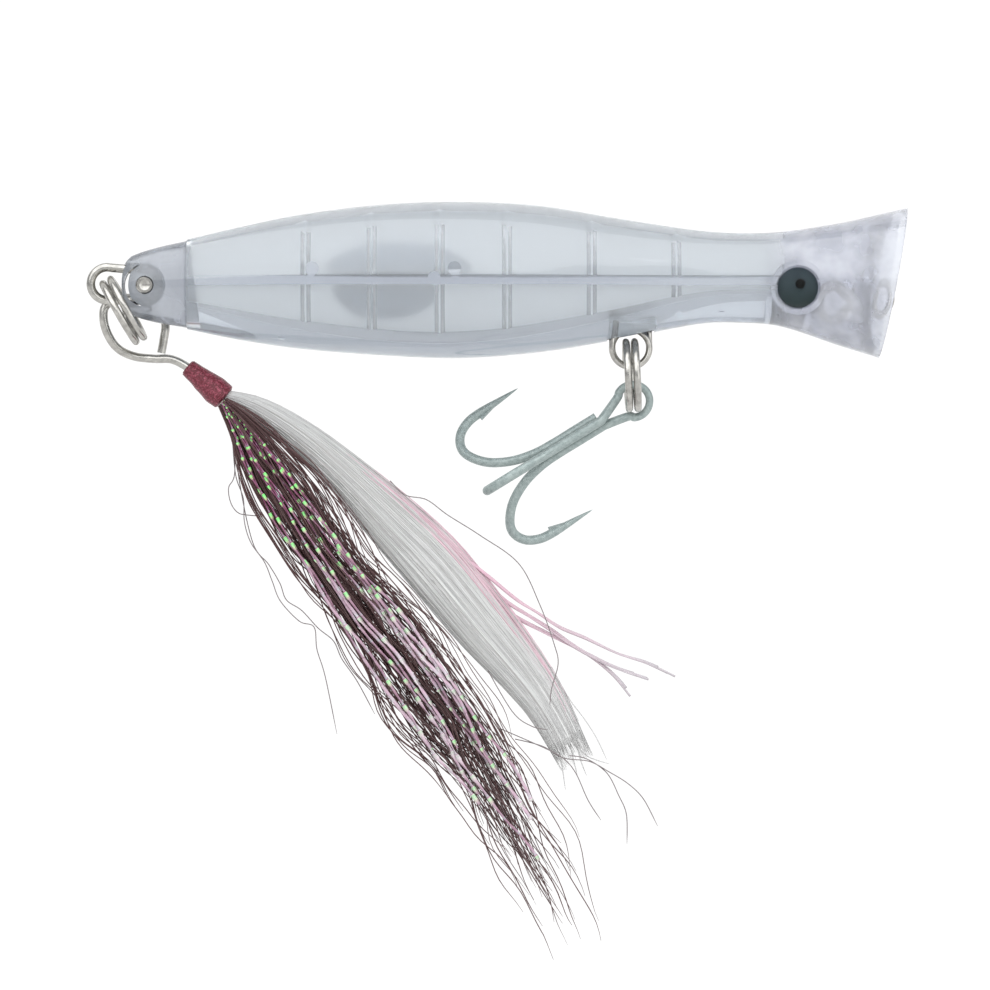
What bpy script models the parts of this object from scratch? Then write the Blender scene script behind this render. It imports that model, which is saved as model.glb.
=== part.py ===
"""Topwater popper: a clear body with a cupped mouth, a belly treble hook and a dressed teaser.

Frame: +X towards the mouth, +Z towards the back, +Y to the left side.
The origin is the centre of the line tie's eye.
Lengths below are in millimetres, and every vertex is scaled to metres as it is made.
"""

import math

import bmesh
import bpy
from mathutils import Vector

MM = 0.001
GAP = 0.3  # clearance between neighbouring pieces
CUT_THROUGH = 9.0  # half the length of a cutter that goes right through the tail

# Body outline: (x, top z, bottom z, half width), from the tail to past the mouth.
BODY_STATIONS = (
    (-127.5, 5.6, -1.4, 1.9),
    (-125.8, 7.1, -2.9, 2.7),
    (-122.0, 8.5, -4.2, 3.7),
    (-116.4, 9.9, -5.3, 5.0),
    (-107.5, 12.0, -7.1, 7.2),
    (-97.3, 14.1, -8.6, 9.1),
    (-83.7, 15.8, -9.7, 10.4),
    (-70.2, 16.3, -10.2, 10.8),
    (-56.6, 15.6, -9.2, 10.1),
    (-43.0, 13.4, -7.0, 8.5),
    (-29.5, 11.4, -4.4, 6.8),
    (-22.7, 11.0, -4.2, 6.5),
    (-15.9, 11.2, -4.8, 6.9),
    (-5.8, 12.7, -8.1, 9.0),
    (1.0, 14.2, -10.2, 10.6),
    (8.0, 15.8, -12.3, 12.0),
)
TAIL_X = -127.5
TAIL_SEAM_X = -116.4  # the tail block ends here
BODY_END_X = 8.0  # before the mouth is cut
SEAM = 0.15  # half the gap between the body halves

# Mouth: the lip plane through the bottom and top lips, and the cup cut into it.
BOTTOM_LIP = (0.8, -10.2)
TOP_LIP = (5.6, 15.2)
LIP_WALL = 1.0
CUP_DEPTH = 6.2
CUP_REACH = 2.0  # how far the cup's cutter stands out of the mouth
MOUTH_BLOCK = 22.0  # half the width of the block that cuts the mouth's plane

# Cavity
WALL = 1.3
RIB_DEPTH = 2.0
RIB_WIDTH = 0.8
CAVITY_TAIL_X = -119.0
CAVITY_HEAD_X = -15.4
RIB_X = (-96.0, -84.9, -73.5, -62.2, -48.0, -33.7)
FLOOR_STATIONS = (
    (-119.0, 0.0),
    (-97.3, -3.7),
    (-77.0, -5.6),
    (-63.4, -5.1),
    (-46.4, -2.4),
    (-29.5, 0.9),
    (-15.4, 1.4),
)
WEB_BOTTOM, WEB_TOP = 2.0, 3.6
CORE_LIP = 0.08  # the middle of the cavity stops this far short of the web and the floor

# Locating pegs on the left half: (x, z).
PEGS = ((-94.9, 4.6), (-74.4, 3.0), (-6.5, 8.3), (-100.0, -6.0), (-26.0, -1.4))
PEG_RADIUS = 0.5
BOSS_RADIUS = 1.15
PEG_REACH = 1.6
MID_BOSS = (-71.0, 4.6)

# Tail block, cross pin and tail hanger
SPIGOT_REACH = 3.6
PIN_X, PIN_Z, PIN_RADIUS, PIN_BORE = -123.4, 2.1, 1.5, 0.9
TAIL_EYE_X, TAIL_EYE_Z = -129.9, 2.4
EYE_LOOP_RADIUS = 2.8
HANGER_WIRE = 0.75
LEG_OFFSET = PIN_RADIUS + GAP + HANGER_WIRE
LEG_SHIFT = 1.4  # how far each end of the wire steps sideways behind the pin

# Line tie: a figure of eight, its front eye at the origin and its rear eye inside the head.
TIE_REAR_X = -6.4
TIE_REAR_RADIUS = 2.2
TIE_CROSS = 0.95

# Belly hanger
BELLY_X, BELLY_Z = -41.2, -8.5
BELLY_WIRE = 0.55
BELLY_LOOP_RADIUS = 3.15
BELLY_TURNS = 1.5
BELLY_PITCH = 2.0  # between the two legs
BELLY_LEG_TOP = -2.6

# Split rings
RING_RADIUS = 5.65
RING_WIRE = 0.63
RING_PITCH = 1.48
RING_STEP = 18  # degrees on each side of the place where one turn steps over to the other
RING_STEP_AT = 90  # that place, on the far side
BELLY_RING_Z = -13.1
BELLY_RING_TURN = math.radians(14)
TAIL_RING_CENTRE = (-127.2, 0.0, -2.1)
TAIL_RING_SLOPE = math.radians(-60.4)

# Treble hook: its axis runs from the eye down towards the tail.
HOOK_EYE = (-40.7, 3.4, -17.4)
HOOK_SLOPE = math.radians(180 + 31.6)
HOOK_WIRE = 0.8
HOOK_STRAND = 1.1
HOOK_EYE_RADIUS = 2.8
HOOK_EYE_WIRE = 0.65
HOOK_TAPER = 5  # how many of the path's last points the needle point takes
# One hook from its shank to its point: (distance from the eye's centre, distance out from the axis).
HOOK_BEND = (
    (15.5, 1.1),
    (19.0, 1.35),
    (22.8, 2.4),
    (26.3, 4.5),
    (28.5, 7.3),
    (29.1, 9.8),
    (28.0, 12.2),
    (25.6, 13.6),
    (22.5, 13.9),
    (19.0, 14.0),
    (15.5, 14.1),
)
BARB = ((23.6, 12.6), (20.0, 13.7), (23.8, 14.0))  # tip, then its two ends inside the wire
SINGLE_START = 6.8  # where each shank starts, from the eye's centre
DOUBLE_START = 6.4

# Ballast weights: half length, half width, height
UPPER_BALLAST = (12.6, 5.0, 4.9)
LOWER_BALLAST = (9.2, 5.0, 5.2)

# Eyes on the head
EYE_X, EYE_Z = -13.2, 1.5
EYE_RIM_RADIUS = 4.6
EYE_RADIUS = 3.4
EYE_FACE_Y = 8.0
EYE_FLOOR_Y = 6.1
DISC_THICK = 0.55
EYE_GAP = 0.22
PUPIL_RADIUS = 0.8
PUPIL_THICK = 0.35
PUPIL_SHIFT = (0.35, 0.65)  # forward and up from the disc's centre
# The clear dome over the disc: (height above its back, share of its radius).
DOME_PROFILE = ((0.0, 1.0), (0.25, 1.0), (0.7, 0.86), (1.0, 0.62), (1.15, 0.3))

# Teaser wire: its eye behind the tail block, then the shank into the thread wrap.
TEASER_WIRE = 0.74
TEASER_PATH = (
    (-121.1, 5.6, -9.2),
    (-120.7, 5.6, -7.0),
    (-120.4, 5.6, -4.4),
    (-121.2, 5.6, -1.9),
    (-123.2, 5.2, -0.4),
    (-125.8, 4.1, 0.1),
    (-128.3, 3.2, -0.1),
    (-130.5, 3.2, -1.4),
    (-130.7, 3.2, -4.0),
    (-129.8, 3.6, -6.6),
    (-128.2, 4.0, -8.6),
    (-125.6, 4.4, -9.8),
    (-122.2, 4.6, -10.2),
    (-119.3, 4.6, -10.3),
    (-116.6, 4.5, -11.6),
    (-114.0, 4.5, -13.7),
    (-111.0, 4.5, -16.1),
)
WRAP_START = (-116.6, 4.5, -11.6)
WRAP_END = (-110.2, 4.5, -16.9)
WRAP_RADII = (1.5, 1.75, 2.05, 2.35, 2.3)

# Dressing bundles: (x, y, z, half width across the bundle, half thickness in y).
WHITE_HAIR = (
    (-109.3, 4.0, -16.7, 1.1, 1.5),
    (-103.2, 4.0, -20.6, 2.2, 2.6),
    (-94.7, 4.0, -26.6, 3.4, 3.6),
    (-82.9, 4.0, -36.8, 4.3, 4.4),
    (-73.6, 4.0, -46.1, 4.4, 4.4),
    (-65.7, 4.0, -55.2, 4.3, 4.0),
    (-58.1, 4.0, -65.6, 3.6, 3.2),
    (-51.4, 4.0, -78.1, 2.4, 2.0),
)
DARK_HAIR = (
    (-110.6, 4.0, -18.4, 0.9, 1.3),
    (-107.4, 4.0, -24.6, 1.9, 2.6),
    (-101.6, 4.0, -34.4, 3.4, 3.6),
    (-93.6, 4.0, -46.0, 4.9, 4.2),
    (-83.0, 4.0, -58.6, 6.4, 4.4),
    (-72.4, 4.0, -72.4, 7.0, 4.2),
    (-63.6, 4.0, -86.6, 6.0, 3.4),
    (-55.6, 4.0, -101.0, 3.2, 2.2),
)
PEARL_FLASH = (
    (-110.7, 2.1, -17.9, 0.4, 0.25),
    (-108.4, 0.8, -22.6, 0.9, 0.3),
    (-104.2, -0.6, -30.4, 1.6, 0.5),
    (-95.6, -1.4, -44.0, 2.8, 0.6),
    (-84.4, -1.8, -59.0, 3.6, 0.6),
    (-75.0, -1.8, -72.0, 3.0, 0.5),
    (-67.0, -1.0, -84.0, 1.6, 0.4),
)
PINK_STRANDS = (
    (-108.2, 4.0, -14.9, 0.25, 0.6),
    (-101.4, 4.0, -17.8, 0.3, 1.0),
    (-91.9, 4.0, -22.6, 0.35, 1.3),
    (-79.2, 4.0, -32.6, 0.45, 1.5),
    (-68.9, 4.0, -42.0, 0.6, 1.6),
    (-57.4, 4.0, -51.6, 1.1, 1.6),
    (-46.4, 4.0, -60.4, 1.6, 1.2),
    (-37.6, 4.0, -64.6, 1.0, 0.6),
)


# Curves


def smooth(points, per_span=6, closed=False):
    """Points on a smooth curve through the given points of any dimension."""
    n = len(points)
    spans = n if closed else n - 1
    out = []
    for i in range(spans):
        a, b, c, d = (
            points[(i + k) % n if closed else min(max(i + k, 0), n - 1)]
            for k in (-1, 0, 1, 2)
        )
        for j in range(per_span):
            t = j / per_span
            out.append(
                tuple(
                    0.5
                    * (
                        2 * q
                        + (r - p) * t
                        + (2 * p - 5 * q + 4 * r - s) * t * t
                        + (3 * q - p - 3 * r + s) * t**3
                    )
                    for p, q, r, s in zip(a, b, c, d)
                )
            )
    if not closed:
        out.append(tuple(points[-1]))
    return out


def between(stations, x):
    """The stations' other values at x, on a smooth curve through them."""
    last = len(stations) - 1
    i = 0
    while i < last - 1 and stations[i + 1][0] < x:
        i += 1
    p, q, r, s = (stations[min(max(i + k, 0), last)] for k in (-1, 0, 1, 2))
    h = r[0] - q[0]
    t = (x - q[0]) / h
    values = []
    for k in range(1, len(q)):
        slope_q = (r[k] - p[k]) / (r[0] - p[0])
        slope_r = (s[k] - q[k]) / (s[0] - q[0])
        values.append(
            (2 * t**3 - 3 * t**2 + 1) * q[k]
            + (t**3 - 2 * t**2 + t) * h * slope_q
            + (3 * t**2 - 2 * t**3) * r[k]
            + (t**3 - t**2) * h * slope_r
        )
    return values


def spread(low, high, count):
    return [low + (high - low) * i / count for i in range(count + 1)]


def turn(count):
    """That many angles round a full circle."""
    return [2 * math.pi * i / count for i in range(count)]


def on_circle(x, y, z, radius, angle):
    """A point on the upright circle about (x, y, z) that lies in the plane across the Y axis."""
    return x + radius * math.cos(angle), y, z + radius * math.sin(angle)


# Objects and materials


def material(name, colour, rough=0.4, metal=0.0, alpha=1.0):
    mat = bpy.data.materials.new(name)
    mat.use_nodes = True
    shader = mat.node_tree.nodes["Principled BSDF"]
    shader.inputs["Base Color"].default_value = (*colour, 1)
    shader.inputs["Roughness"].default_value = rough
    shader.inputs["Metallic"].default_value = metal
    shader.inputs["Alpha"].default_value = alpha
    return mat


def clear_plastic(name):
    return material(name, (0.76, 0.77, 0.84), 0.12, alpha=0.5)


def steel(name):
    return material(name, (0.60, 0.59, 0.56), 0.25, 1.0)


def hook_metal(name):
    return material(name, (0.50, 0.55, 0.54), 0.5, 0.6)


def place(bm, name, mat, joint=None, cutter=False):
    """Makes the object from a bmesh in millimetres; joint is the point on its joint's axis."""
    bmesh.ops.recalc_face_normals(bm, faces=bm.faces)
    centre = Vector(joint or (0, 0, 0)) * MM
    for v in bm.verts:
        v.co = v.co * MM - centre
    mesh = bpy.data.meshes.new(name)
    bm.to_mesh(mesh)
    bm.free()
    mesh.shade_smooth()
    mesh.set_sharp_from_angle(angle=math.radians(35))
    ob = bpy.data.objects.new(name, mesh)
    ob.location = centre
    bpy.context.scene.collection.objects.link(ob)
    if cutter:
        ob.hide_render = True
        ob.display_type = "WIRE"
    else:
        mesh.materials.append(mat)
    return ob


def cut(ob, cutter, operation="DIFFERENCE"):
    mod = ob.modifiers.new(cutter.name, "BOOLEAN")
    mod.operation = operation
    mod.object = cutter


# Solids


def loft(rings):
    """A closed solid through rings of points, capped at both ends."""
    bm = bmesh.new()
    rows = [[bm.verts.new(p) for p in ring] for ring in rings]
    n = len(rows[0])
    for a, b in zip(rows, rows[1:]):
        for i in range(n):
            j = (i + 1) % n
            bm.faces.new((a[i], a[j], b[j], b[i]))
    bm.faces.new(rows[0])
    bm.faces.new(rows[-1])
    return bm


def sweep(points, radii, sides=8, closed=False):
    """A round wire along points; radii is one radius or one for each point."""
    path = [Vector(p) for p in points]
    n = len(path)
    radii = radii if hasattr(radii, "__len__") else [radii] * n
    tangents = []
    for i in range(n):
        before = path[i - 1] if closed or i else path[0]
        after = path[(i + 1) % n] if closed or i < n - 1 else path[-1]
        tangents.append((after - before).normalized())
    side = tangents[0].orthogonal().normalized()
    frames = []
    for t in tangents:
        side = (side - t * side.dot(t)).normalized()
        frames.append(side.copy())
    twist = 0.0
    if closed:
        end = frames[-1] - tangents[0] * frames[-1].dot(tangents[0])
        twist = end.angle(frames[0])
        if tangents[0].dot(end.cross(frames[0])) < 0:
            twist = -twist
    rings = []
    for i, (p, t, s, r) in enumerate(zip(path, tangents, frames, radii)):
        up = t.cross(s)
        offset = twist * i / n
        angles = (offset + a for a in turn(sides))
        rings.append([p + (s * math.cos(a) + up * math.sin(a)) * r for a in angles])
    if not closed:
        return loft(rings)
    bm = bmesh.new()
    rows = [[bm.verts.new(p) for p in ring] for ring in rings]
    for i in range(n):
        a, b = rows[i], rows[(i + 1) % n]
        for k in range(sides):
            m = (k + 1) % sides
            bm.faces.new((a[k], a[m], b[m], b[k]))
    return bm


def cylinder(start, end, radius, sides=24):
    """A solid cylinder between two points."""
    axis = (Vector(end) - Vector(start)).normalized()
    side = axis.orthogonal().normalized()
    up = axis.cross(side)
    rim = [side * math.cos(a) + up * math.sin(a) for a in turn(sides)]
    return loft([[Vector(p) + r * radius for r in rim] for p in (start, end)])


def across_body(x, z, y0, y1, radius, sides=20):
    """A cylinder along Y at (x, z)."""
    return cylinder((x, y0, z), (x, y1, z), radius, sides)


def box(low, high):
    (x0, y0, z0), (x1, y1, z1) = low, high
    return loft([[(x, y0, z0), (x, y1, z0), (x, y1, z1), (x, y0, z1)] for x in (x0, x1)])


# Body


def section(x, inset=0.0):
    """The body's centre height, half height and half width at x, drawn in by inset."""
    top, bottom, width = between(BODY_STATIONS, x)
    return (top + bottom) / 2, (top - bottom) / 2 - inset, width - inset


def half_ring(x, side, points=10):
    """Half of the body's outline at x, from top to bottom along one side, then up the seam."""
    middle, height, width = section(x)
    ring = []
    for i in range(points + 1):
        a = math.pi * (0.5 - i / points)
        y = max(width * math.cos(a), SEAM)
        ring.append((x, side * y, middle + height * math.sin(a)))
    return ring


def full_ring(x, inset=0.0, points=20):
    middle, height, width = section(x, inset)
    return [(x, width * math.cos(a), middle + height * math.sin(a)) for a in turn(points)]


def body_half(side, name):
    xs = spread(TAIL_SEAM_X + GAP, BODY_END_X, 22)
    return place(loft([half_ring(x, side) for x in xs]), name, clear_plastic(name))


def cavity_ring(x, side, inset, low, high, points=5):
    """A slice of the cavity between two heights, from the seam out to the inner wall."""
    middle, height, width = section(x, inset)
    low = max(low, middle - height * 0.95)
    high = min(high, middle + height * 0.985)
    past_seam = -side * inset
    ring = [(x, past_seam, high)]
    for i in range(points):
        z = high + (low - high) * i / (points - 1)
        rise = (z - middle) / height
        ring.append((x, side * width * math.sqrt(1 - rise * rise), z))
    ring.append((x, past_seam, low))
    return ring


def cavity(side, start, end, inset, upper, name):
    """A cutter for one stretch of the cavity above or below the web."""
    rings = []
    lip = CORE_LIP if inset > WALL else 0
    for x in spread(start, end, max(2, round((end - start) / 7))):
        floor = between(FLOOR_STATIONS, x)[0]
        if upper:
            rings.append(cavity_ring(x, side, inset, WEB_TOP + lip, 99))
        else:
            top = WEB_BOTTOM - lip
            rings.append(cavity_ring(x, side, inset, min(floor, top - 0.4) + lip, top))
    return place(loft(rings), name, None, cutter=True)


def hollow(ob, side, tag):
    """Cuts the middle of the cavity right through, and the pockets between the ribs."""
    edges = [CAVITY_TAIL_X, *RIB_X, CAVITY_HEAD_X]
    tail, head = CAVITY_TAIL_X - 1, CAVITY_HEAD_X - 0.5
    for upper in (True, False):
        row = "upper" if upper else "lower"
        cut(ob, cavity(side, tail, head, WALL + RIB_DEPTH, upper, f"{tag}_{row}_core"))
        for i, (a, b) in enumerate(zip(edges, edges[1:])):
            start = a if i == 0 else a + RIB_WIDTH / 2
            end = b if i == len(RIB_X) else b - RIB_WIDTH / 2
            cut(ob, cavity(side, start, end, WALL, upper, f"{tag}_{row}_pocket_{i}"))


def mouth_frame():
    """The lip plane's middle, its outward direction and its upward direction."""
    low = Vector((BOTTOM_LIP[0], 0, BOTTOM_LIP[1]))
    high = Vector((TOP_LIP[0], 0, TOP_LIP[1]))
    up = (high - low).normalized()
    return (low + high) / 2, Vector((up.z, 0, -up.x)), up, (high - low).length / 2


def mouth_cutters(tag):
    """One cutter in front of the lips, and one for the cup."""
    middle, out, up, half = mouth_frame()
    across = Vector((0, 1, 0))
    corners = [across * a + up * b for a, b in ((-1, -1), (1, -1), (1, 1), (-1, 1))]
    front = loft([[middle + out * d + c * MOUTH_BLOCK for c in corners] for d in (0, MOUTH_BLOCK)])
    wide = across * (section(middle.x)[2] - LIP_WALL)
    high = up * (half - LIP_WALL)
    levels = [(CUP_REACH, 1.0)]
    for tilt in spread(0, math.radians(75), 5):
        levels.append((-CUP_DEPTH * math.sin(tilt), math.cos(tilt)))
    rings = []
    for level, grow in levels:
        centre = middle + out * level
        rings.append([centre + (wide * math.cos(a) + high * math.sin(a)) * grow for a in turn(24)])
    cup = place(loft(rings), f"{tag}_cup", None, cutter=True)
    return place(front, f"{tag}_front", None, cutter=True), cup


def eye_seat(ob, side, tag):
    """A raised round seat for the eye, with a pocket in it."""
    rim = across_body(EYE_X, EYE_Z, side * 3.0, side * EYE_FACE_Y, EYE_RIM_RADIUS, 24)
    cut(ob, place(rim, f"{tag}_eye_rim", None, cutter=True), "UNION")
    floor, out = side * EYE_FLOOR_Y, side * (EYE_FACE_Y + 2)
    pocket = across_body(EYE_X, EYE_Z, floor, out, EYE_RADIUS + GAP)
    cut(ob, place(pocket, f"{tag}_eye_pocket", None, cutter=True))


def bosses(ob, side, tag):
    """Bosses for the pegs; the left half carries the pegs and the right half has their sockets."""
    for i, (x, z) in enumerate((*PEGS, MID_BOSS)):
        middle, height, width = section(x, WALL / 2)
        wall = width * math.sqrt(max(1 - ((z - middle) / height) ** 2, 0.05))
        reach = wall - 3.0 if (x, z) == MID_BOSS else SEAM + 0.05
        boss = across_body(x, z, side * wall, side * reach, BOSS_RADIUS, 8)
        cut(ob, place(boss, f"{tag}_boss_{i}", None, cutter=True), "UNION")
    for i, (x, z) in enumerate(PEGS):
        if side > 0:
            peg = across_body(x, z, 1.0, -PEG_REACH, PEG_RADIUS, 8)
            cut(ob, place(peg, f"{tag}_peg_{i}", None, cutter=True), "UNION")
        else:
            socket = across_body(x, z, 0.6, -PEG_REACH - GAP, PEG_RADIUS + GAP, 8)
            cut(ob, place(socket, f"{tag}_socket_{i}", None, cutter=True))


def spigot_socket(ob, tag):
    """Room for the tail block's spigot."""
    ends = (TAIL_SEAM_X - 1, TAIL_SEAM_X + SPIGOT_REACH + GAP)
    socket = loft([full_ring(x, WALL) for x in spread(*ends, 2)])
    cut(ob, place(socket, f"{tag}_spigot", None, cutter=True))


def hanger_pockets(ob, tag):
    """Room for the line tie in the head and for the belly hanger in the keel."""
    slot = TIE_CROSS + HANGER_WIRE + GAP
    room = HANGER_WIRE + 2 * GAP
    rear = across_body(TIE_REAR_X, 0, -slot, slot, TIE_REAR_RADIUS + room)
    cut(ob, place(rear, f"{tag}_tie_rear", None, cutter=True))
    front = across_body(0, 0, -slot, slot, EYE_LOOP_RADIUS + room)
    cut(ob, place(front, f"{tag}_tie_front", None, cutter=True))
    slot = BELLY_PITCH / 2 + BELLY_WIRE + 2 * GAP
    reach = BELLY_LOOP_RADIUS + BELLY_WIRE + GAP
    loop = across_body(BELLY_X, BELLY_Z, -slot, slot, reach, 24)
    cut(ob, place(loop, f"{tag}_belly_loop", None, cutter=True))
    legs = box((BELLY_X - reach, -slot, BELLY_Z), (BELLY_X + reach, slot, BELLY_LEG_TOP + GAP))
    cut(ob, place(legs, f"{tag}_belly_legs", None, cutter=True))


def body_shells():
    for side, name in ((-1, "body_shell_right"), (1, "body_shell_left")):
        tag = "right" if side < 0 else "left"
        ob = body_half(side, name)
        hollow(ob, side, tag)
        eye_seat(ob, side, tag)
        bosses(ob, side, tag)
        for cutter in mouth_cutters(tag):
            cut(ob, cutter)
        hanger_pockets(ob, tag)
        spigot_socket(ob, tag)


# Tail block, pin and wires


def tail_block():
    rounding = ((TAIL_X, 0.9), (TAIL_X + 0.7, 0.3), (TAIL_X + 1.7, 0.0))
    rings = [full_ring(x, inset) for x, inset in rounding]
    rings += [full_ring(x) for x in spread(TAIL_X + 3.5, TAIL_SEAM_X, 5)]
    rings.append(full_ring(TAIL_SEAM_X, WALL + GAP))
    rings.append(full_ring(TAIL_SEAM_X + SPIGOT_REACH, WALL + GAP + 0.4))
    ob = place(loft(rings), "tail_block", clear_plastic("tail_block"))
    bore = across_body(PIN_X, PIN_Z, -CUT_THROUGH, CUT_THROUGH, PIN_RADIUS + GAP)
    cut(ob, place(bore, "tail_pin_bore", None, cutter=True))
    slot_y = HANGER_WIRE + GAP
    slot_z = LEG_OFFSET + HANGER_WIRE + 2 * GAP
    low = (TAIL_X - 2, -slot_y, PIN_Z - slot_z)
    cut(ob, place(box(low, (PIN_X + 1, slot_y, PIN_Z + slot_z)), "tail_slot", None, cutter=True))
    knot_y = LEG_SHIFT + HANGER_WIRE + GAP
    knot = across_body(PIN_X, PIN_Z, -knot_y, knot_y, slot_z, 24)
    cut(ob, place(knot, "tail_knot", None, cutter=True))


def cross_pin():
    reach = section(PIN_X)[2] - 0.25
    pin = across_body(PIN_X, PIN_Z, -reach, reach, PIN_RADIUS)
    ob = place(pin, "tail_cross_pin", steel("tail_cross_pin"))
    bore = across_body(PIN_X, PIN_Z, -CUT_THROUGH, CUT_THROUGH, PIN_BORE, 16)
    cut(ob, place(bore, "tail_pin_hollow", None, cutter=True))


def tail_hanger():
    """A wire from behind the pin, over it, round the eye, back under it and up behind it."""
    path = []
    for t in spread(0, 1, 8):
        a = math.radians(-50 + 140 * t)
        path.append(on_circle(PIN_X, LEG_SHIFT * (t - 1), PIN_Z, LEG_OFFSET, a))
    for t in spread(0, 1, 12):
        a = math.radians(75 + 210 * t)
        path.append(on_circle(TAIL_EYE_X, 0, TAIL_EYE_Z, EYE_LOOP_RADIUS, a))
    for t in spread(0, 1, 8):
        a = math.radians(270 + 140 * t)
        path.append(on_circle(PIN_X, LEG_SHIFT * t, PIN_Z, LEG_OFFSET, a))
    return place(sweep(smooth(path, 1), HANGER_WIRE), "tail_hanger", steel("tail_hanger"))


def line_tie():
    """A closed figure of eight: the front eye in the cup and the rear eye in the head."""
    path = []
    crossing = TIE_REAR_X / 2
    for t in spread(-1, 1, 10):
        path.append(on_circle(0, TIE_CROSS * 0.6 * t, 0, EYE_LOOP_RADIUS, math.radians(140 * t)))
    path.append((crossing + 0.2, TIE_CROSS, 0.0))
    for t in spread(-1, 1, 10):
        a = math.radians(-180 - 140 * t)
        path.append(on_circle(TIE_REAR_X, -TIE_CROSS * 0.6 * t, 0, TIE_REAR_RADIUS, a))
    path.append((crossing + 0.2, -TIE_CROSS, 0.0))
    wire = sweep(smooth(path, 1, closed=True), HANGER_WIRE, closed=True)
    return place(wire, "line_tie", steel("line_tie"))


def belly_hanger():
    """A wire that comes down out of the keel, makes a double loop and goes back up."""
    side = BELLY_PITCH / 2
    path = [(BELLY_X - 2.9, -side, BELLY_LEG_TOP), (BELLY_X - 3.1, -side, BELLY_Z + 2.6)]
    steps = 36
    for i in range(steps + 1):
        a = math.pi + 2 * math.pi * BELLY_TURNS * i / steps
        y = BELLY_PITCH * (i / steps - 0.5)
        path.append(on_circle(BELLY_X, y, BELLY_Z, BELLY_LOOP_RADIUS, a))
    path += [(BELLY_X + 3.1, side, BELLY_Z + 2.6), (BELLY_X + 2.9, side, BELLY_LEG_TOP)]
    return place(sweep(smooth(path, 1), BELLY_WIRE), "belly_hanger", steel("belly_hanger"))


def split_ring(centre, along, name, joint):
    """Two turns of wire; along is a direction in the ring's plane, which also holds the Y axis."""
    along = Vector(along).normalized()
    across = Vector((0, 1, 0))
    across = (across - along * across.dot(along)).normalized()
    normal = along.cross(across)
    path = []
    sweep_angle = 2 * (360 - RING_STEP)
    for degrees in spread(-sweep_angle / 2, sweep_angle / 2, 38):
        a = math.radians(RING_STEP_AT + degrees)
        shift = RING_PITCH / 2 * max(-1, min(1, degrees / RING_STEP))
        outward = along * math.cos(a) + across * math.sin(a)
        path.append(Vector(centre) + outward * RING_RADIUS + normal * shift)
    return place(sweep(path, RING_WIRE), name, steel(name), joint)


# Treble hook


def hook_axes():
    """The hook's direction from eye to bend, and the direction of each of its three hooks."""
    along = Vector((math.cos(HOOK_SLOPE), 0, math.sin(HOOK_SLOPE)))
    beside = Vector((math.sin(HOOK_SLOPE), 0, -math.cos(HOOK_SLOPE)))
    third = Vector((0, -1, 0))
    upper = -third * 0.5 + beside * math.sin(math.radians(120))
    lower = -third * 0.5 - beside * math.sin(math.radians(120))
    return along, upper, lower, third


def hook_path(along, out, start):
    """A shank from start and its bend, as points from the shank to the hook's point."""
    flat = [(start, HOOK_STRAND), ((start + HOOK_BEND[0][0]) / 2, HOOK_STRAND), *HOOK_BEND]
    eye = Vector(HOOK_EYE)
    return [eye + along * u + out * v for u, v in smooth(flat, 2)]


def hook_radii(count):
    """Full wire, then a taper over the point."""
    radii = [HOOK_WIRE] * (count - HOOK_TAPER)
    for left in reversed(range(HOOK_TAPER)):
        radii.append(HOOK_WIRE * (0.06 + 0.94 * (left / HOOK_TAPER) ** 0.8))
    return radii


def barb(ob, along, out, name):
    """A small wedge on the inner side of the point."""
    eye = Vector(HOOK_EYE)
    across = along.cross(out)
    half = 0.35
    rings = [[eye + along * u + out * v + across * w for u, v in BARB] for w in (-half, half)]
    cut(ob, place(loft(rings), name, None, cutter=True), "UNION")


def treble(joint):
    along, upper, lower, third = hook_axes()
    single = hook_path(along, upper, SINGLE_START)
    wire = sweep(single, hook_radii(len(single)))
    ob = place(wire, "treble_single_hook", hook_metal("treble_single_hook"), joint)
    barb(ob, along, upper, "single_barb")
    first = hook_path(along, lower, DOUBLE_START)
    second = hook_path(along, third, DOUBLE_START)
    eye = Vector(HOOK_EYE)
    beside = Vector((-along.z, 0, along.x))
    if beside.dot(upper) > 0:
        beside = -beside
    loop = []
    for i in range(13):
        a = math.radians(40 + 280 * i / 12)
        loop.append(eye + (along * math.cos(a) + beside * math.sin(a)) * HOOK_EYE_RADIUS)
    bend = smooth([first[0], *loop, second[0]], 2)
    path = [*reversed(first[1:]), *bend, *second[1:]]
    ends = hook_radii(len(first))
    extra = HOOK_WIRE - HOOK_EYE_WIRE
    slim = [HOOK_EYE_WIRE + extra * abs(t) ** 3 for t in spread(-1, 1, len(bend) - 1)]
    wire = sweep(path, [*reversed(ends[1:]), *slim, *ends[1:]])
    ob = place(wire, "treble_double_hook", hook_metal("treble_double_hook"), joint)
    barb(ob, along, lower, "lower_barb")
    barb(ob, along, third, "third_barb")


# Inside weights and eyes


def half_ellipsoid(centre, semi, upper, name):
    """Half of an ellipsoid with its flat face at the centre's height."""
    bm = bmesh.new()
    bmesh.ops.create_uvsphere(bm, u_segments=20, v_segments=12, radius=1)
    sign = 1 if upper else -1
    level = (0, 0, 0.001 * sign)
    whole = [*bm.verts, *bm.edges, *bm.faces]
    result = bmesh.ops.bisect_plane(
        bm, geom=whole, plane_co=level, plane_no=(0, 0, sign), clear_inner=True
    )
    edges = [e for e in result["geom_cut"] if isinstance(e, bmesh.types.BMEdge)]
    bmesh.ops.contextual_create(bm, geom=edges)
    for v in bm.verts:
        v.co = Vector([c + p * s for c, p, s in zip(centre, v.co, semi)])
    return place(bm, name, material(name, (0.33, 0.36, 0.40), 0.5, 0.8))


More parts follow.
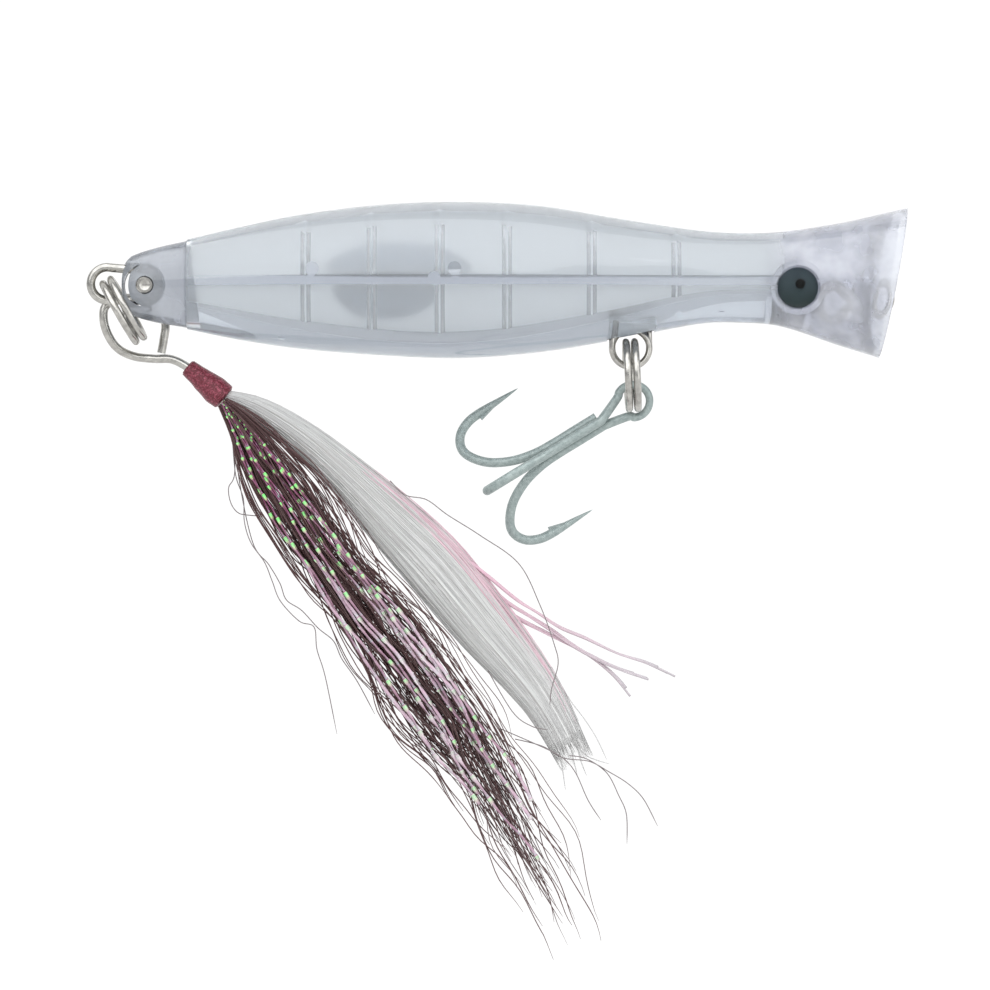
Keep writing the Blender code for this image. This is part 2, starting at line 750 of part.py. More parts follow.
def ballast():
    half_ellipsoid((-80.5, 0, WEB_TOP + 0.8), UPPER_BALLAST, True, "ballast_upper")
    half_ellipsoid((-82.6, 0, WEB_BOTTOM - 0.45), LOWER_BALLAST, False, "ballast_lower")


def eye_pieces():
    for side, tag in ((-1, "right"), (1, "left")):
        back = EYE_FLOOR_Y + EYE_GAP
        face = back + DISC_THICK
        disc = across_body(EYE_X, EYE_Z, side * back, side * face, EYE_RADIUS)
        place(disc, f"eye_disc_{tag}", material(f"eye_disc_{tag}", (0.05, 0.07, 0.07), 0.3))
        lens_back = face + EYE_GAP
        rings = []
        for rise, grow in DOME_PROFILE:
            y = side * (lens_back + rise)
            rings.append([on_circle(EYE_X, y, EYE_Z, EYE_RADIUS * grow, a) for a in turn(20)])
        lens = place(loft(rings), f"eye_dome_{tag}", clear_plastic(f"eye_dome_{tag}"))
        x, z = EYE_X + PUPIL_SHIFT[0], EYE_Z + PUPIL_SHIFT[1]
        top = lens_back + PUPIL_THICK + EYE_GAP
        seat = across_body(x, z, side * (lens_back - 1), side * top, PUPIL_RADIUS + EYE_GAP, 14)
        cut(lens, place(seat, f"eye_pupil_seat_{tag}", None, cutter=True))
        pupil = across_body(x, z, side * lens_back, side * (lens_back + PUPIL_THICK), PUPIL_RADIUS, 14)
        place(pupil, f"eye_pupil_{tag}", material(f"eye_pupil_{tag}", (0.01, 0.01, 0.012), 0.2))


# Teaser


def thread_wrap(joint):
    start, end = Vector(WRAP_START), Vector(WRAP_END)
    axis = (end - start).normalized()
    side = Vector((0, 1, 0))
    up = axis.cross(side)
    rings = []
    for i, r in enumerate(WRAP_RADII):
        p = start.lerp(end, i / (len(WRAP_RADII) - 1))
        rings.append([p + (side * math.cos(a) + up * math.sin(a)) * r for a in turn(20)])
    crimson = material("thread_wrap", (0.42, 0.02, 0.08), 0.35)
    ob = place(loft(rings), "thread_wrap", crimson, joint)
    shank = smooth(TEASER_PATH, 2)[-9:]
    ahead = Vector(shank[-1]) + (Vector(shank[-1]) - Vector(shank[-2])).normalized() * 3
    bore = sweep([*shank, tuple(ahead)], TEASER_WIRE + GAP, 10)
    cut(ob, place(bore, "wrap_bore", None, cutter=True))


def bundle(stations, name, mat, joint, points=12):
    """A tapered bundle of fibres along its stations."""
    path = smooth(stations, 2)
    rings = []
    for i, (x, y, z, wide, thick) in enumerate(path):
        a, b = path[max(i - 1, 0)], path[min(i + 1, len(path) - 1)]
        along = Vector((b[0] - a[0], 0, b[2] - a[2])).normalized()
        across = Vector((-along.z, 0, along.x))
        ring = []
        for t in turn(points):
            sideways = Vector((0, thick * math.sin(t), 0))
            ring.append(Vector((x, y, z)) + across * wide * math.cos(t) + sideways)
        rings.append(ring)
    return place(loft(rings), name, mat, joint)


def teaser(joint):
    path = smooth(TEASER_PATH, 2)
    place(sweep(path, TEASER_WIRE), "teaser_wire", steel("teaser_wire"), joint)
    thread_wrap(joint)
    white = material("white_hair", (0.86, 0.86, 0.87), 0.6)
    bundle(WHITE_HAIR, "white_hair", white, joint)
    brown = material("dark_hair", (0.20, 0.11, 0.11), 0.5)
    bundle(DARK_HAIR, "dark_hair", brown, joint)
    pearl = material("pearl_flash", (0.85, 0.72, 0.85), 0.2, 0.3)
    bundle(PEARL_FLASH, "pearl_flash", pearl, joint, 8)
    pink = material("pink_strands", (0.90, 0.72, 0.82), 0.4)
    bundle(PINK_STRANDS, "pink_strands", pink, joint, 8)


def main():
    for ob in list(bpy.context.scene.objects):
        bpy.data.objects.remove(ob)
    body_shells()
    tail_block()
    cross_pin()
    tail_hanger()
    line_tie()
    belly_hanger()
    ballast()
    eye_pieces()

    belly_centre = Vector((BELLY_X + 0.2, 0, BELLY_RING_Z))
    belly_along = Vector((math.sin(math.radians(3)), 0, -math.cos(math.radians(3))))
    belly_joint = belly_centre - belly_along * RING_RADIUS
    split_ring(belly_centre, belly_along, "belly_split_ring", belly_joint)
    treble(HOOK_EYE)

    tail_along = Vector((math.cos(TAIL_RING_SLOPE), 0, math.sin(TAIL_RING_SLOPE)))
    tail_centre = Vector(TAIL_RING_CENTRE)
    split_ring(tail_centre, tail_along, "tail_split_ring", tail_centre - tail_along * RING_RADIUS)
    teaser(tail_centre + tail_along * 3.5 + Vector((0, 4.4, 0)))


main()
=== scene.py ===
"""The looks of the clear topwater popper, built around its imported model.

Lengths are in millimetres in the model's own frame, and each piece is scaled to metres as it is made.
+X points out of the mouth, +Z towards the back and +Y to the left side.
"""

import math
import random

import bmesh
import bpy
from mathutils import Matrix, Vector, noise


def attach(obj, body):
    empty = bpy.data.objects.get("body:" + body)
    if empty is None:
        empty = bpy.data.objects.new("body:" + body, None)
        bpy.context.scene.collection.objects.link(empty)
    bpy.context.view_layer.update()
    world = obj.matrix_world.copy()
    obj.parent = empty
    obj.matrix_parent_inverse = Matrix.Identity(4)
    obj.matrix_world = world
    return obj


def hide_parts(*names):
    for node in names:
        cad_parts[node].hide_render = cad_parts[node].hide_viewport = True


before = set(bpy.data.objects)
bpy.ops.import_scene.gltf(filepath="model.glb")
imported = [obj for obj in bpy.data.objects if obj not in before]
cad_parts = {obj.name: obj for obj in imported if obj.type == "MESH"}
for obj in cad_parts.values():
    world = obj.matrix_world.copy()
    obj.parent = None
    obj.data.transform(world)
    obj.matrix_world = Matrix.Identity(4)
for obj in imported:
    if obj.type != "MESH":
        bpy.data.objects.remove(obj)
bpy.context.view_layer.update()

MM = 0.001
LEFT = Vector((0, 1, 0))
SHARP_ANGLE = 35

# Body outline: (x, top z, bottom z, half width), from the tail to past the mouth.
BODY_STATIONS = (
    (-127.5, 5.6, -1.4, 1.9), (-125.8, 7.1, -2.9, 2.7), (-122.0, 8.5, -4.2, 3.7),
    (-116.4, 9.9, -5.3, 5.0), (-107.5, 12.0, -7.1, 7.2), (-97.3, 14.1, -8.6, 9.1),
    (-83.7, 15.8, -9.7, 10.4), (-70.2, 16.3, -10.2, 10.8), (-56.6, 15.6, -9.2, 10.1),
    (-43.0, 13.4, -7.0, 8.5), (-29.5, 11.4, -4.4, 6.8), (-22.7, 11.0, -4.2, 6.5),
    (-15.9, 11.2, -4.8, 6.9), (-5.8, 12.7, -8.1, 9.0), (1.0, 14.2, -10.2, 10.6),
    (8.0, 15.8, -12.3, 12.0),
)
TAIL_X = -127.5
TAIL_SEAM_X = -116.4
# How the block's tail end rounds off: (distance from the end, how far it is drawn in).
TAIL_ROUNDING = ((0, 1.1), (0.15, 0.7), (0.5, 0.35), (1.0, 0.12), (1.7, 0.0))
TAIL_ROUNDED = 2.2
BODY_END_X = 8.0
SEAM = 0.03  # half the weld line between the body halves

# Mouth
BOTTOM_LIP = (0.8, -10.2)
TOP_LIP = (5.6, 15.2)
LIP_WALL = 1.0
CUP_DEPTH = 6.2
CUP_REACH = 2.0  # how far the cup's cutter stands out past the lips
MOUTH_BLOCK = 22.0
OUTSIDE = 12.0  # a distance from the seam that is past the body

# Cavity
WALL = 1.3
RIB_DEPTH = 1.1
RIB_WIDTH = 1.0
RIB_SLOPE = 0.35
CAVITY_TAIL_X = -119.0
CAVITY_HEAD_X = -15.4
RIB_X = (-96.0, -84.9, -73.5, -62.2, -48.0, -33.7)
FLOOR_STATIONS = (
    (-119.0, 0.0), (-97.3, -3.7), (-77.0, -5.6), (-63.4, -5.1), (-46.4, -2.4), (-29.5, 0.9),
    (-15.4, 1.4),
)
WEB_BOTTOM, WEB_TOP = 2.0, 3.6
# Bosses at the pegs: x, z and how far from the seam they end.
PEGS = (
    (-94.9, 4.6, 0.08), (-74.4, 3.0, 0.08), (-6.5, 8.3, 0.08), (-100.0, -6.0, 0.08),
    (-26.0, -1.4, 0.08), (-71.0, 4.6, 5.2),
)
BOSS_RADIUS = 1.15
# The plastic turns cloudy from here towards the mouth.
HEAD_CLOUD_X, CLOUD_LENGTH = -19.0, 5.0

# Wires, and the room they have in the plastic
WIRE = 0.75
EYE_LOOP_RADIUS = 2.8
TIE_REAR_X, TIE_REAR_RADIUS, TIE_CROSS = -6.4, 2.2, 0.95
BELLY_X, BELLY_Z, BELLY_WIRE = -41.2, -8.5, 0.55
BELLY_LOOP_RADIUS, BELLY_PITCH, BELLY_TURNS, BELLY_LEG_TOP = 3.15, 2.0, 1.5, -2.6
PIN_X, PIN_Z, PIN_RADIUS, PIN_BORE = -123.4, 2.1, 1.5, 0.9
TAIL_EYE_X, TAIL_EYE_Z = -129.9, 2.4
LEG_OFFSET, LEG_SHIFT = 2.55, 1.4
SPIGOT_REACH, SPIGOT_SLOPE, SPIGOT_GAP = 0.6, 2.0, 0.06
TAIL_STEP = 0.22  # how far the shell stands proud of the block at their joint
GAP = 0.3

# Eyes on the head
EYE_X, EYE_Z = -13.2, 1.5
EYE_RIM_RADIUS, EYE_RADIUS, EYE_FOOT_Y, EYE_FACE_Y, EYE_FLOOR_Y = 4.6, 3.4, 3.0, 8.0, 6.1
DISC_THICK, DISC_EDGE, EYE_GAP = 0.55, 0.12, 0.05
DOME_RISE, DOME_EDGE = 1.35, 0.15
PUPIL_RADIUS, PUPIL_THICK, PUPIL_SHIFT = 0.8, 0.35, (0.35, 0.65)

# Split rings: the wire steps from one turn to the other within RING_STEP degrees of RING_STEP_AT.
RING_RADIUS, RING_WIRE, RING_PITCH, RING_STEP, RING_STEP_AT = 5.65, 0.63, 1.48, 18, 90
BELLY_RING = (BELLY_X + 0.2, 0.0, -13.1)
BELLY_RING_LEAN = math.radians(3)
TAIL_RING = (-127.2, 0.0, -2.1)
TAIL_RING_SLOPE = math.radians(-60.4)

# Treble hook: its axis runs from the eye down towards the tail.
HOOK_EYE = (-40.7, 3.4, -17.4)
HOOK_SLOPE = math.radians(180 + 31.6)
HOOK_WIRE, HOOK_STRAND = 0.8, 1.1
HOOK_EYE_RADIUS, HOOK_EYE_WIRE, HOOK_EYE_OPENS = 2.8, 0.65, 40
# One hook from its shank to its point: (distance from the eye's centre, distance out from the axis).
HOOK_BEND = (
    (15.5, 1.1), (19.0, 1.35), (22.8, 2.4), (26.3, 4.5), (28.5, 7.3), (29.1, 9.8), (28.0, 12.2),
    (25.6, 13.6), (22.5, 13.9), (19.0, 14.0), (15.5, 14.1),
)
BARB, BARB_HALF = ((23.6, 12.6), (20.0, 13.7), (23.8, 14.0)), 0.35
SINGLE_START, DOUBLE_START = 6.8, 6.4
POINT_LENGTH = 7.5

# Teaser
TEASER_WIRE = 0.74
TEASER_PATH = (
    (-121.1, 5.6, -9.2), (-120.7, 5.6, -7.0), (-120.4, 5.6, -4.4), (-121.2, 5.6, -1.9),
    (-123.2, 5.2, -0.4), (-125.8, 4.1, 0.1), (-128.3, 3.2, -0.1), (-130.5, 3.2, -1.4),
    (-130.7, 3.2, -4.0), (-129.8, 3.6, -6.6), (-128.2, 4.0, -8.6), (-125.6, 4.4, -9.8),
    (-122.2, 4.6, -10.2), (-119.3, 4.6, -10.3), (-116.6, 4.5, -11.6), (-114.0, 4.5, -13.7),
    (-111.0, 4.5, -16.1),
)
WRAP_START = (-116.6, 4.5, -11.6)
WRAP_END = (-110.2, 4.5, -16.9)
WRAP_RADII = (1.45, 1.7, 2.05, 2.35, 2.2)
WRAP_TURNS, WRAP_RIDGE = 26, 0.07

# Bundles of fibres: (x, y, z, half width across the bundle, half thickness in y).
WHITE_HAIR = (
    (-110.6, 4.2, -16.3, 0.8, 0.9), (-104.7, 3.6, -18.6, 1.9, 1.6), (-97.6, 3.4, -23.2, 2.8, 2.0),
    (-90.2, 3.2, -29.4, 3.5, 2.3), (-81.4, 3.2, -38.0, 4.8, 2.6), (-74.1, 3.2, -45.6, 5.5, 2.7),
    (-66.1, 3.2, -55.3, 5.2, 2.6), (-58.3, 3.4, -64.8, 4.2, 2.2), (-54.4, 3.6, -70.8, 3.5, 1.9),
    (-51.0, 3.8, -77.4, 3.1, 1.4),
)
DARK_HAIR = (
    (-110.4, 2.4, -17.6, 1.0, 1.0), (-107.0, 1.8, -21.2, 2.8, 2.0), (-103.6, 1.4, -25.8, 4.8, 2.3),
    (-98.2, 1.3, -33.0, 6.6, 2.5), (-92.2, 1.3, -42.0, 7.2, 2.6), (-86.4, 1.3, -50.6, 7.0, 2.6),
    (-79.4, 1.4, -59.8, 7.6, 2.6), (-72.6, 1.6, -68.4, 8.0, 2.6), (-66.8, 1.8, -77.0, 7.6, 2.6),
    (-61.2, 2.0, -86.4, 7.0, 2.4), (-55.6, 2.2, -96.4, 6.4, 2.2), (-51.4, 2.4, -106.0, 5.2, 2.0),
)
PEARL_FLASH = (
    (-110.2, 1.6, -17.4, 0.6, 0.3), (-107.2, 0.4, -21.8, 2.0, 0.4), (-103.6, -0.9, -27.4, 3.6, 0.5),
    (-97.4, -1.5, -36.4, 5.0, 0.6), (-89.6, -1.6, -47.0, 5.8, 0.8), (-80.6, -1.6, -59.0, 6.8, 1.0),
    (-72.8, -1.4, -69.6, 7.2, 1.2), (-66.2, -0.8, -79.6, 6.6, 1.2), (-59.4, -0.2, -89.4, 5.4, 1.2),
)
BUNDLE_LENGTH = 100
WHITE_COUNT, WHITE_RADIUS, PALE_STRAY_RADIUS = 460, 0.075, 0.11
DARK_LOCKS, DARK_RADII, STRAY_RADIUS = 41, (0.08, 0.125), 0.1
# The flash's green glints are painted highlights: their pitch along a ribbon, their share of each turn and
# the chance that a turn has one.
FLASH_COUNT, GLINT_PITCH, GLINT_SHARE, GLINT_CHANCE = 10, (3.6, 5.0), 0.25, 0.75
PINK_HALF_WIDTH = 0.19
# Single strands that have left their bundle, from their roots to their tips.
LONG_STRAYS = (
    ((-108.5, 1.6, -22.5), (-108.4, 1.2, -29.8), (-109.4, 1.0, -32.2), (-109.0, 1.0, -34.8),
     (-107.8, 1.0, -36.4), (-106.2, 1.0, -36.8), (-103.6, 1.0, -37.0)),
    ((-108.8, 1.4, -23.5), (-108.2, 0.9, -30.0), (-106.9, 0.8, -34.0), (-106.7, 0.8, -38.0),
     (-105.6, 0.8, -41.5), (-103.3, 0.8, -44.8), (-102.0, 0.8, -48.0), (-100.6, 0.8, -51.4),
     (-97.4, 0.8, -54.8), (-94.9, 0.8, -55.8), (-94.4, 0.8, -59.6), (-93.0, 0.8, -64.2),
     (-91.0, 0.8, -74.0)),
    ((-108.3, 1.8, -23.0), (-107.6, 1.4, -31.0), (-105.3, 1.2, -41.5), (-102.6, 1.2, -45.2),
     (-100.7, 1.2, -48.4), (-99.6, 1.2, -51.2), (-97.0, 1.2, -53.0), (-94.2, 1.2, -56.0),
     (-91.6, 1.2, -58.2), (-90.2, 1.2, -61.2), (-87.6, 1.2, -65.0), (-84.6, 1.2, -70.6)),
    ((-82.0, 1.6, -31.0), (-79.4, 0.6, -33.4), (-75.8, 0.2, -34.2), (-72.2, 0.2, -36.8),
     (-66.8, 0.2, -40.2), (-60.2, 0.2, -45.0), (-56.6, 0.2, -52.0), (-54.2, 0.2, -58.6),
     (-53.5, 0.2, -62.0), (-54.6, 0.2, -66.2), (-54.9, 0.2, -69.0)),
    ((-60.8, 1.0, -74.8), (-56.2, 1.0, -76.0), (-52.6, 1.0, -78.0), (-48.2, 1.0, -78.6),
     (-44.8, 1.0, -80.4), (-41.6, 1.0, -82.4), (-39.0, 1.0, -85.0), (-36.6, 1.0, -89.6)),
    ((-51.6, 1.2, -77.6), (-48.6, 1.2, -78.2), (-45.2, 1.2, -80.6), (-43.2, 1.2, -84.4),
     (-41.9, 1.2, -87.6), (-41.8, 1.2, -92.6)),
    ((-63.4, 0.8, -73.0), (-57.4, 0.8, -75.6), (-53.0, 0.8, -77.8), (-50.6, 0.8, -80.4),
     (-48.4, 0.8, -85.2), (-46.2, 0.8, -88.6)),
    ((-65.4, 0.6, -63.2), (-61.2, 0.6, -70.2), (-58.0, 0.6, -72.6), (-55.2, 0.6, -73.2)),
)
PALE_STRAYS = (
    ((-54.6, 3.4, -62.6), (-51.6, 3.4, -68.0), (-49.2, 3.4, -71.2), (-47.0, 3.4, -74.6),
     (-45.2, 3.4, -78.4)),
    ((-53.6, 4.0, -74.0), (-52.8, 4.0, -79.4), (-52.2, 4.0, -83.6)),
    ((-50.4, 4.4, -75.4), (-49.6, 4.4, -78.6), (-48.6, 4.4, -81.2)),
    ((-50.0, 3.8, -76.4), (-48.2, 3.8, -78.0), (-44.6, 3.8, -79.2)),
    ((-51.6, 4.2, -75.0), (-50.8, 4.2, -78.6), (-50.2, 4.2, -81.0)),
)
PINK_STRANDS = (
    ((-72.5, 2.4, -41.5), (-66.0, 2.2, -46.6), (-60.4, 2.2, -51.2), (-56.8, 2.2, -53.4),
     (-53.2, 2.2, -55.8), (-48.7, 2.2, -57.7), (-43.2, 2.2, -60.3), (-38.3, 2.2, -61.9),
     (-33.5, 2.2, -64.1)),
    ((-72.5, 3.0, -42.4), (-66.6, 3.0, -47.8), (-62.0, 3.0, -51.6), (-58.4, 3.0, -53.9),
     (-54.5, 3.0, -56.4), (-51.3, 3.0, -58.7), (-48.0, 3.0, -60.6), (-43.2, 3.0, -62.9),
     (-37.7, 3.0, -64.7)),
    ((-72.0, 3.6, -43.4), (-66.4, 3.6, -49.0), (-61.4, 3.6, -53.6), (-55.6, 3.6, -56.8),
     (-49.7, 3.6, -59.8), (-46.4, 3.6, -61.9), (-43.5, 3.6, -64.5), (-40.8, 3.6, -67.9)),
)

# The view, the sweep and the lights, in metres and watts
VIEW_WIDTH, VIEW_CENTRE = 0.1678, (-0.0642, -0.0334)
FLOOR_Z, SWEEP_NEAR, SWEEP_FAR, SWEEP_BEND, SWEEP_TOP = -0.128, -1.6, 0.55, 0.3, 1.5
SWEEP_SIDES = (-1.6, 1.5)
LIT_AT = (-0.06, 0, 0)


# Curves


def neighbours(items, i):
    """The item before i, the one at i and the two after it, held at both ends."""
    return [items[min(max(i + k, 0), len(items) - 1)] for k in (-1, 0, 1, 2)]


def curve_value(p, q, r, s, t):
    """The value at t from 0 to 1 between q and r, on a smooth curve that heeds p and s too."""
    return 0.5 * (2 * q + (r - p) * t + (2 * p - 5 * q + 4 * r - s) * t**2 + (3 * q - p - 3 * r + s) * t**3)


def smooth(points, per_span=6, closed=False):
    """Points on a smooth curve through the given points of any dimension."""
    n = len(points)
    out = []
    for i in range(n if closed else n - 1):
        around = [points[(i + k) % n] for k in (-1, 0, 1, 2)] if closed else neighbours(points, i)
        for j in range(per_span):
            out.append(tuple(curve_value(*values, j / per_span) for values in zip(*around)))
    if not closed:
        out.append(tuple(points[-1]))
    return out


def between(stations, x):
    """The stations' other values at x, on a smooth curve through them."""
    last = len(stations) - 1
    i = 0
    while i < last - 1 and stations[i + 1][0] < x:
        i += 1
    p, q, r, s = neighbours(stations, i)
    h = r[0] - q[0]
    t = (x - q[0]) / h
    values = []
    for k in range(1, len(q)):
        slope_q = (r[k] - p[k]) / (r[0] - p[0])
        slope_r = (s[k] - q[k]) / (s[0] - q[0])
        values.append(
            (2 * t**3 - 3 * t**2 + 1) * q[k]
            + (t**3 - 2 * t**2 + t) * h * slope_q
            + (3 * t**2 - 2 * t**3) * r[k]
            + (t**3 - t**2) * h * slope_r
        )
    return values


def spread(low, high, count):
    """The ends of count equal steps from low to high."""
    return [low + (high - low) * i / count for i in range(count + 1)]


def turn(count):
    """That many angles round a full circle."""
    return [2 * math.pi * i / count for i in range(count)]


def on_circle(x, y, z, radius, angle):
    """A point on the upright circle about (x, y, z) that lies in the plane across the Y axis."""
    return x + radius * math.cos(angle), y, z + radius * math.sin(angle)


# Meshes


def loft(rings, slot=0, closed=False):
    """A solid through rings of points, joined into a loop or capped at both ends."""
    bm = bmesh.new()
    rows = [[bm.verts.new(p) for p in ring] for ring in rings]
    n = len(rows[0])
    for a, b in zip(rows, rows[1:] + rows[:1] if closed else rows[1:]):
        for i in range(n):
            j = (i + 1) % n
            bm.faces.new((a[i], a[j], b[j], b[i]))
    if not closed:
        bm.faces.new(rows[0])
        bm.faces.new(rows[-1])
    for f in bm.faces:
        f.material_index = slot
    return bm


def sweep(points, radii, sides=16, closed=False):
    """A wire along points; radii is one radius or one for each point."""
    path = [Vector(p) for p in points]
    n = len(path)
    radii = radii if hasattr(radii, "__len__") else [radii] * n
    tangents = []
    for i in range(n):
        before = path[i - 1] if closed or i else path[0]
        after = path[(i + 1) % n] if closed or i < n - 1 else path[-1]
        tangents.append((after - before).normalized())
    side = tangents[0].orthogonal().normalized()
    frames = []
    for t in tangents:
        side = (side - t * side.dot(t)).normalized()
        frames.append(side.copy())
    twist = 0.0
    if closed:
        end = frames[-1] - tangents[0] * frames[-1].dot(tangents[0])
        twist = end.angle(frames[0])
        if tangents[0].dot(end.cross(frames[0])) < 0:
            twist = -twist
    rings = []
    for i, (p, t, s, r) in enumerate(zip(path, tangents, frames, radii)):
        up = t.cross(s)
        angles = (twist * i / n + a for a in turn(sides))
        rings.append([p + (s * math.cos(a) + up * math.sin(a)) * r for a in angles])
    return loft(rings, closed=closed)


def across_body(x, z, y0, y1, radius, sides=48):
    """A cylinder along Y at (x, z)."""
    rim = [on_circle(x, 0, z, radius, a) for a in turn(sides)]
    return loft([[(px, y, pz) for px, _, pz in rim] for y in (y0, y1)])


def box(low, high):
    (x0, y0, z0), (x1, y1, z1) = low, high
    return loft([[(x, y0, z0), (x, y1, z0), (x, y1, z1), (x, y0, z1)] for x in (x0, x1)])


def new_object(bm, name, materials, sharp=SHARP_ANGLE):
    """A smooth object from a mesh in millimetres, with hard edges where it bends by more than sharp."""
    bmesh.ops.recalc_face_normals(bm, faces=bm.faces)
    for v in bm.verts:
        v.co *= MM
    mesh = bpy.data.meshes.new(name)
    bm.to_mesh(mesh)
    bm.free()
    for mat in materials:
        mesh.materials.append(mat)
    mesh.shade_smooth()
    mesh.set_sharp_from_angle(angle=math.radians(sharp))
    return linked(name, mesh)


def linked(name, data):
    """A new object in the scene."""
    ob = bpy.data.objects.new(name, data)
    bpy.context.scene.collection.objects.link(ob)
    return ob


def carve(ob, steps):
    """Cuts and joins solids one after another; steps are (bmesh, operation)."""
    cutters = []
    for i, (bm, operation) in enumerate(steps):
        cutter = new_object(bm, f"{ob.name}_cutter_{i}", ob.data.materials)
        mod = ob.modifiers.new(cutter.name, "BOOLEAN")
        mod.operation = operation
        mod.object = cutter
        cutters.append(cutter)
    seen = ob.evaluated_get(bpy.context.evaluated_depsgraph_get())
    mesh = bpy.data.meshes.new_from_object(seen)
    ob.modifiers.clear()
    ob.data = mesh
    mesh.shade_smooth()
    mesh.set_sharp_from_angle(angle=math.radians(SHARP_ANGLE))
    for cutter in cutters:
        bpy.data.objects.remove(cutter)


def piece(ob, body, slot, *nodes):
    """Makes ob part of the lure: it moves with body and stands for the CAD nodes."""
    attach(ob, body)
    if nodes:
        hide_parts(*nodes)


# Materials


def feed(socket, value):
    """Gives a node's input a number, a colour or another node's output."""
    if isinstance(value, bpy.types.NodeSocket):
        socket.id_data.links.new(value, socket)
    else:
        socket.default_value = (*value, 1) if hasattr(value, "__len__") else value


def shader_of(mat):
    return mat.node_tree.nodes["Principled BSDF"]


def paint(mat, value):
    feed(shader_of(mat).inputs["Base Color"], value)


def node(mat, kind, output, **inputs):
    """Adds a shader node of that kind, feeds its inputs and returns the named output."""
    made = mat.node_tree.nodes.new("ShaderNode" + kind)
    for key, value in inputs.items():
        feed(made.inputs[key.replace("_", " ").title()], value)
    return made.outputs[output]


def attribute(mat, name):
    made = mat.node_tree.nodes.new("ShaderNodeAttribute")
    made.attribute_name = name
    return made.outputs["Fac"]


def sum_of(mat, operation, *values):
    """The result of a sum, such as MULTIPLY, on numbers or outputs."""
    made = mat.node_tree.nodes.new("ShaderNodeMath")
    made.operation = operation
    for socket, value in zip(made.inputs, values):
        feed(socket, value)
    return made.outputs["Value"]


def blend(mat, factor, one, other):
    """A mix of two colours, which turns from one into the other as the factor grows."""
    made = mat.node_tree.nodes.new("ShaderNodeMix")
    made.data_type = "RGBA"
    for key, value in (("Factor", factor), ("A", one), ("B", other)):
        feed(made.inputs[key], value)
    return made.outputs["Result"]


def ramp(mat, value, *stops):
    """Colours that follow a value; stops are (value, colour)."""
    made = mat.node_tree.nodes.new("ShaderNodeValToRGB")
    elements = made.color_ramp.elements
    while len(elements) < len(stops):
        elements.new(0.5)
    for element, (place, colour) in zip(elements, stops):
        element.position = place
        element.color = (*colour, 1)
    feed(made.inputs["Fac"], value)
    return made.outputs["Color"]


def principled(name, colour, **values):
    mat = bpy.data.materials.new(name)
    mat.use_nodes = True
    paint(mat, colour)
    for key, value in values.items():
        feed(shader_of(mat).inputs[key.replace("_", " ").title().replace("Ior", "IOR")], value)
    return mat


def bumps(mat, scale, strength, distance, detail=3.0):
    """Fine unevenness of the surface, from noise in the piece's own coordinates; returns the noise."""
    where = node(mat, "TexCoord", "Object")
    grain = node(mat, "TexNoise", "Fac", vector=where, scale=scale, detail=detail)
    normal = node(mat, "Bump", "Normal", strength=strength, distance=distance, height=grain)
    feed(shader_of(mat).inputs["Normal"], normal)
    return grain


def mottle(mat, grain, low, high, edges=(0.35, 0.65)):
    """Lets the noise vary the surface's colour."""
    paint(mat, ramp(mat, grain, (edges[0], low), (edges[1], high)))


def shade_colours(mat, *stops):
    """Colours each fibre by its own shade, from 0 to 1; stops are (shade, colour)."""
    paint(mat, ramp(mat, attribute(mat, "shade"), *stops))


def plastic(name, milk, tint, cloud_tint):
    """Lilac plastic, deeper in colour where it is thick.

    Faces with an inner value of 1 are frosted, and a cloud value of 1 adds a milky mottle and
    turns the tint into the cloud tint.
    """
    mat = principled(name, tint, ior=1.49)
    inputs = shader_of(mat).inputs
    grain = bumps(mat, 140, 0.10, 0.0003)
    inner, cloud = attribute(mat, "inner"), attribute(mat, "cloud")
    feed(inputs["Roughness"], node(mat, "MapRange", "Result", value=inner, to_min=0.06, to_max=0.42))
    paint(mat, blend(mat, cloud, tint, cloud_tint))
    patches = node(
        mat, "MapRange", "Result", value=grain, from_min=0.38, from_max=0.62, to_min=0.12, to_max=0.30
    )
    added = sum_of(mat, "MULTIPLY_ADD", inner, INNER_MILK - milk, sum_of(mat, "MULTIPLY", cloud, patches))
    feed(inputs["Transmission Weight"], sum_of(mat, "SUBTRACT", 1 - milk, added))
    depth = node(mat, "VolumeAbsorption", "Volume", color=(0.36, 0.38, 0.56), density=28)
    feed(mat.node_tree.nodes["Material Output"].inputs["Volume"], depth)
    return mat


def steel(name, colour, rough):
    mat = principled(name, colour, metallic=1.0, roughness=rough)
    grain = bumps(mat, 900, 0.15, 0.00005, 4)
    mottle(mat, grain, tuple(c * 0.72 for c in colour), colour)
    return mat


INNER_MILK = 0.26
OUTER_MILK = 0.12
PLASTIC = plastic("clear_plastic", OUTER_MILK, (0.85, 0.885, 0.91), (0.78, 0.80, 0.85))
TAIL_PLASTIC = plastic("tail_plastic", OUTER_MILK, (0.50, 0.53, 0.57), (0.50, 0.53, 0.57))
LENS = principled("eye_lens", (1, 1, 1), roughness=0.03, ior=1.12, transmission_weight=1.0)
bumps(LENS, 200, 0.05, 0.0001, 2)
STEEL = steel("stainless", (0.52, 0.51, 0.48), 0.24)
LEAD = principled("lead", (0.46, 0.50, 0.56), roughness=0.6)
bumps(LEAD, 400, 0.4, 0.0002)


def hook_coating():
    """Matte grey-green plating with slight clouding and a fine grain."""
    mat = principled("hook_coating", (0.30, 0.36, 0.355), metallic=0.35, roughness=0.48)
    grain = bumps(mat, 1500, 0.25, 0.00006, 5)
    mottle(mat, grain, (0.26, 0.315, 0.31), (0.36, 0.42, 0.41))
    return mat


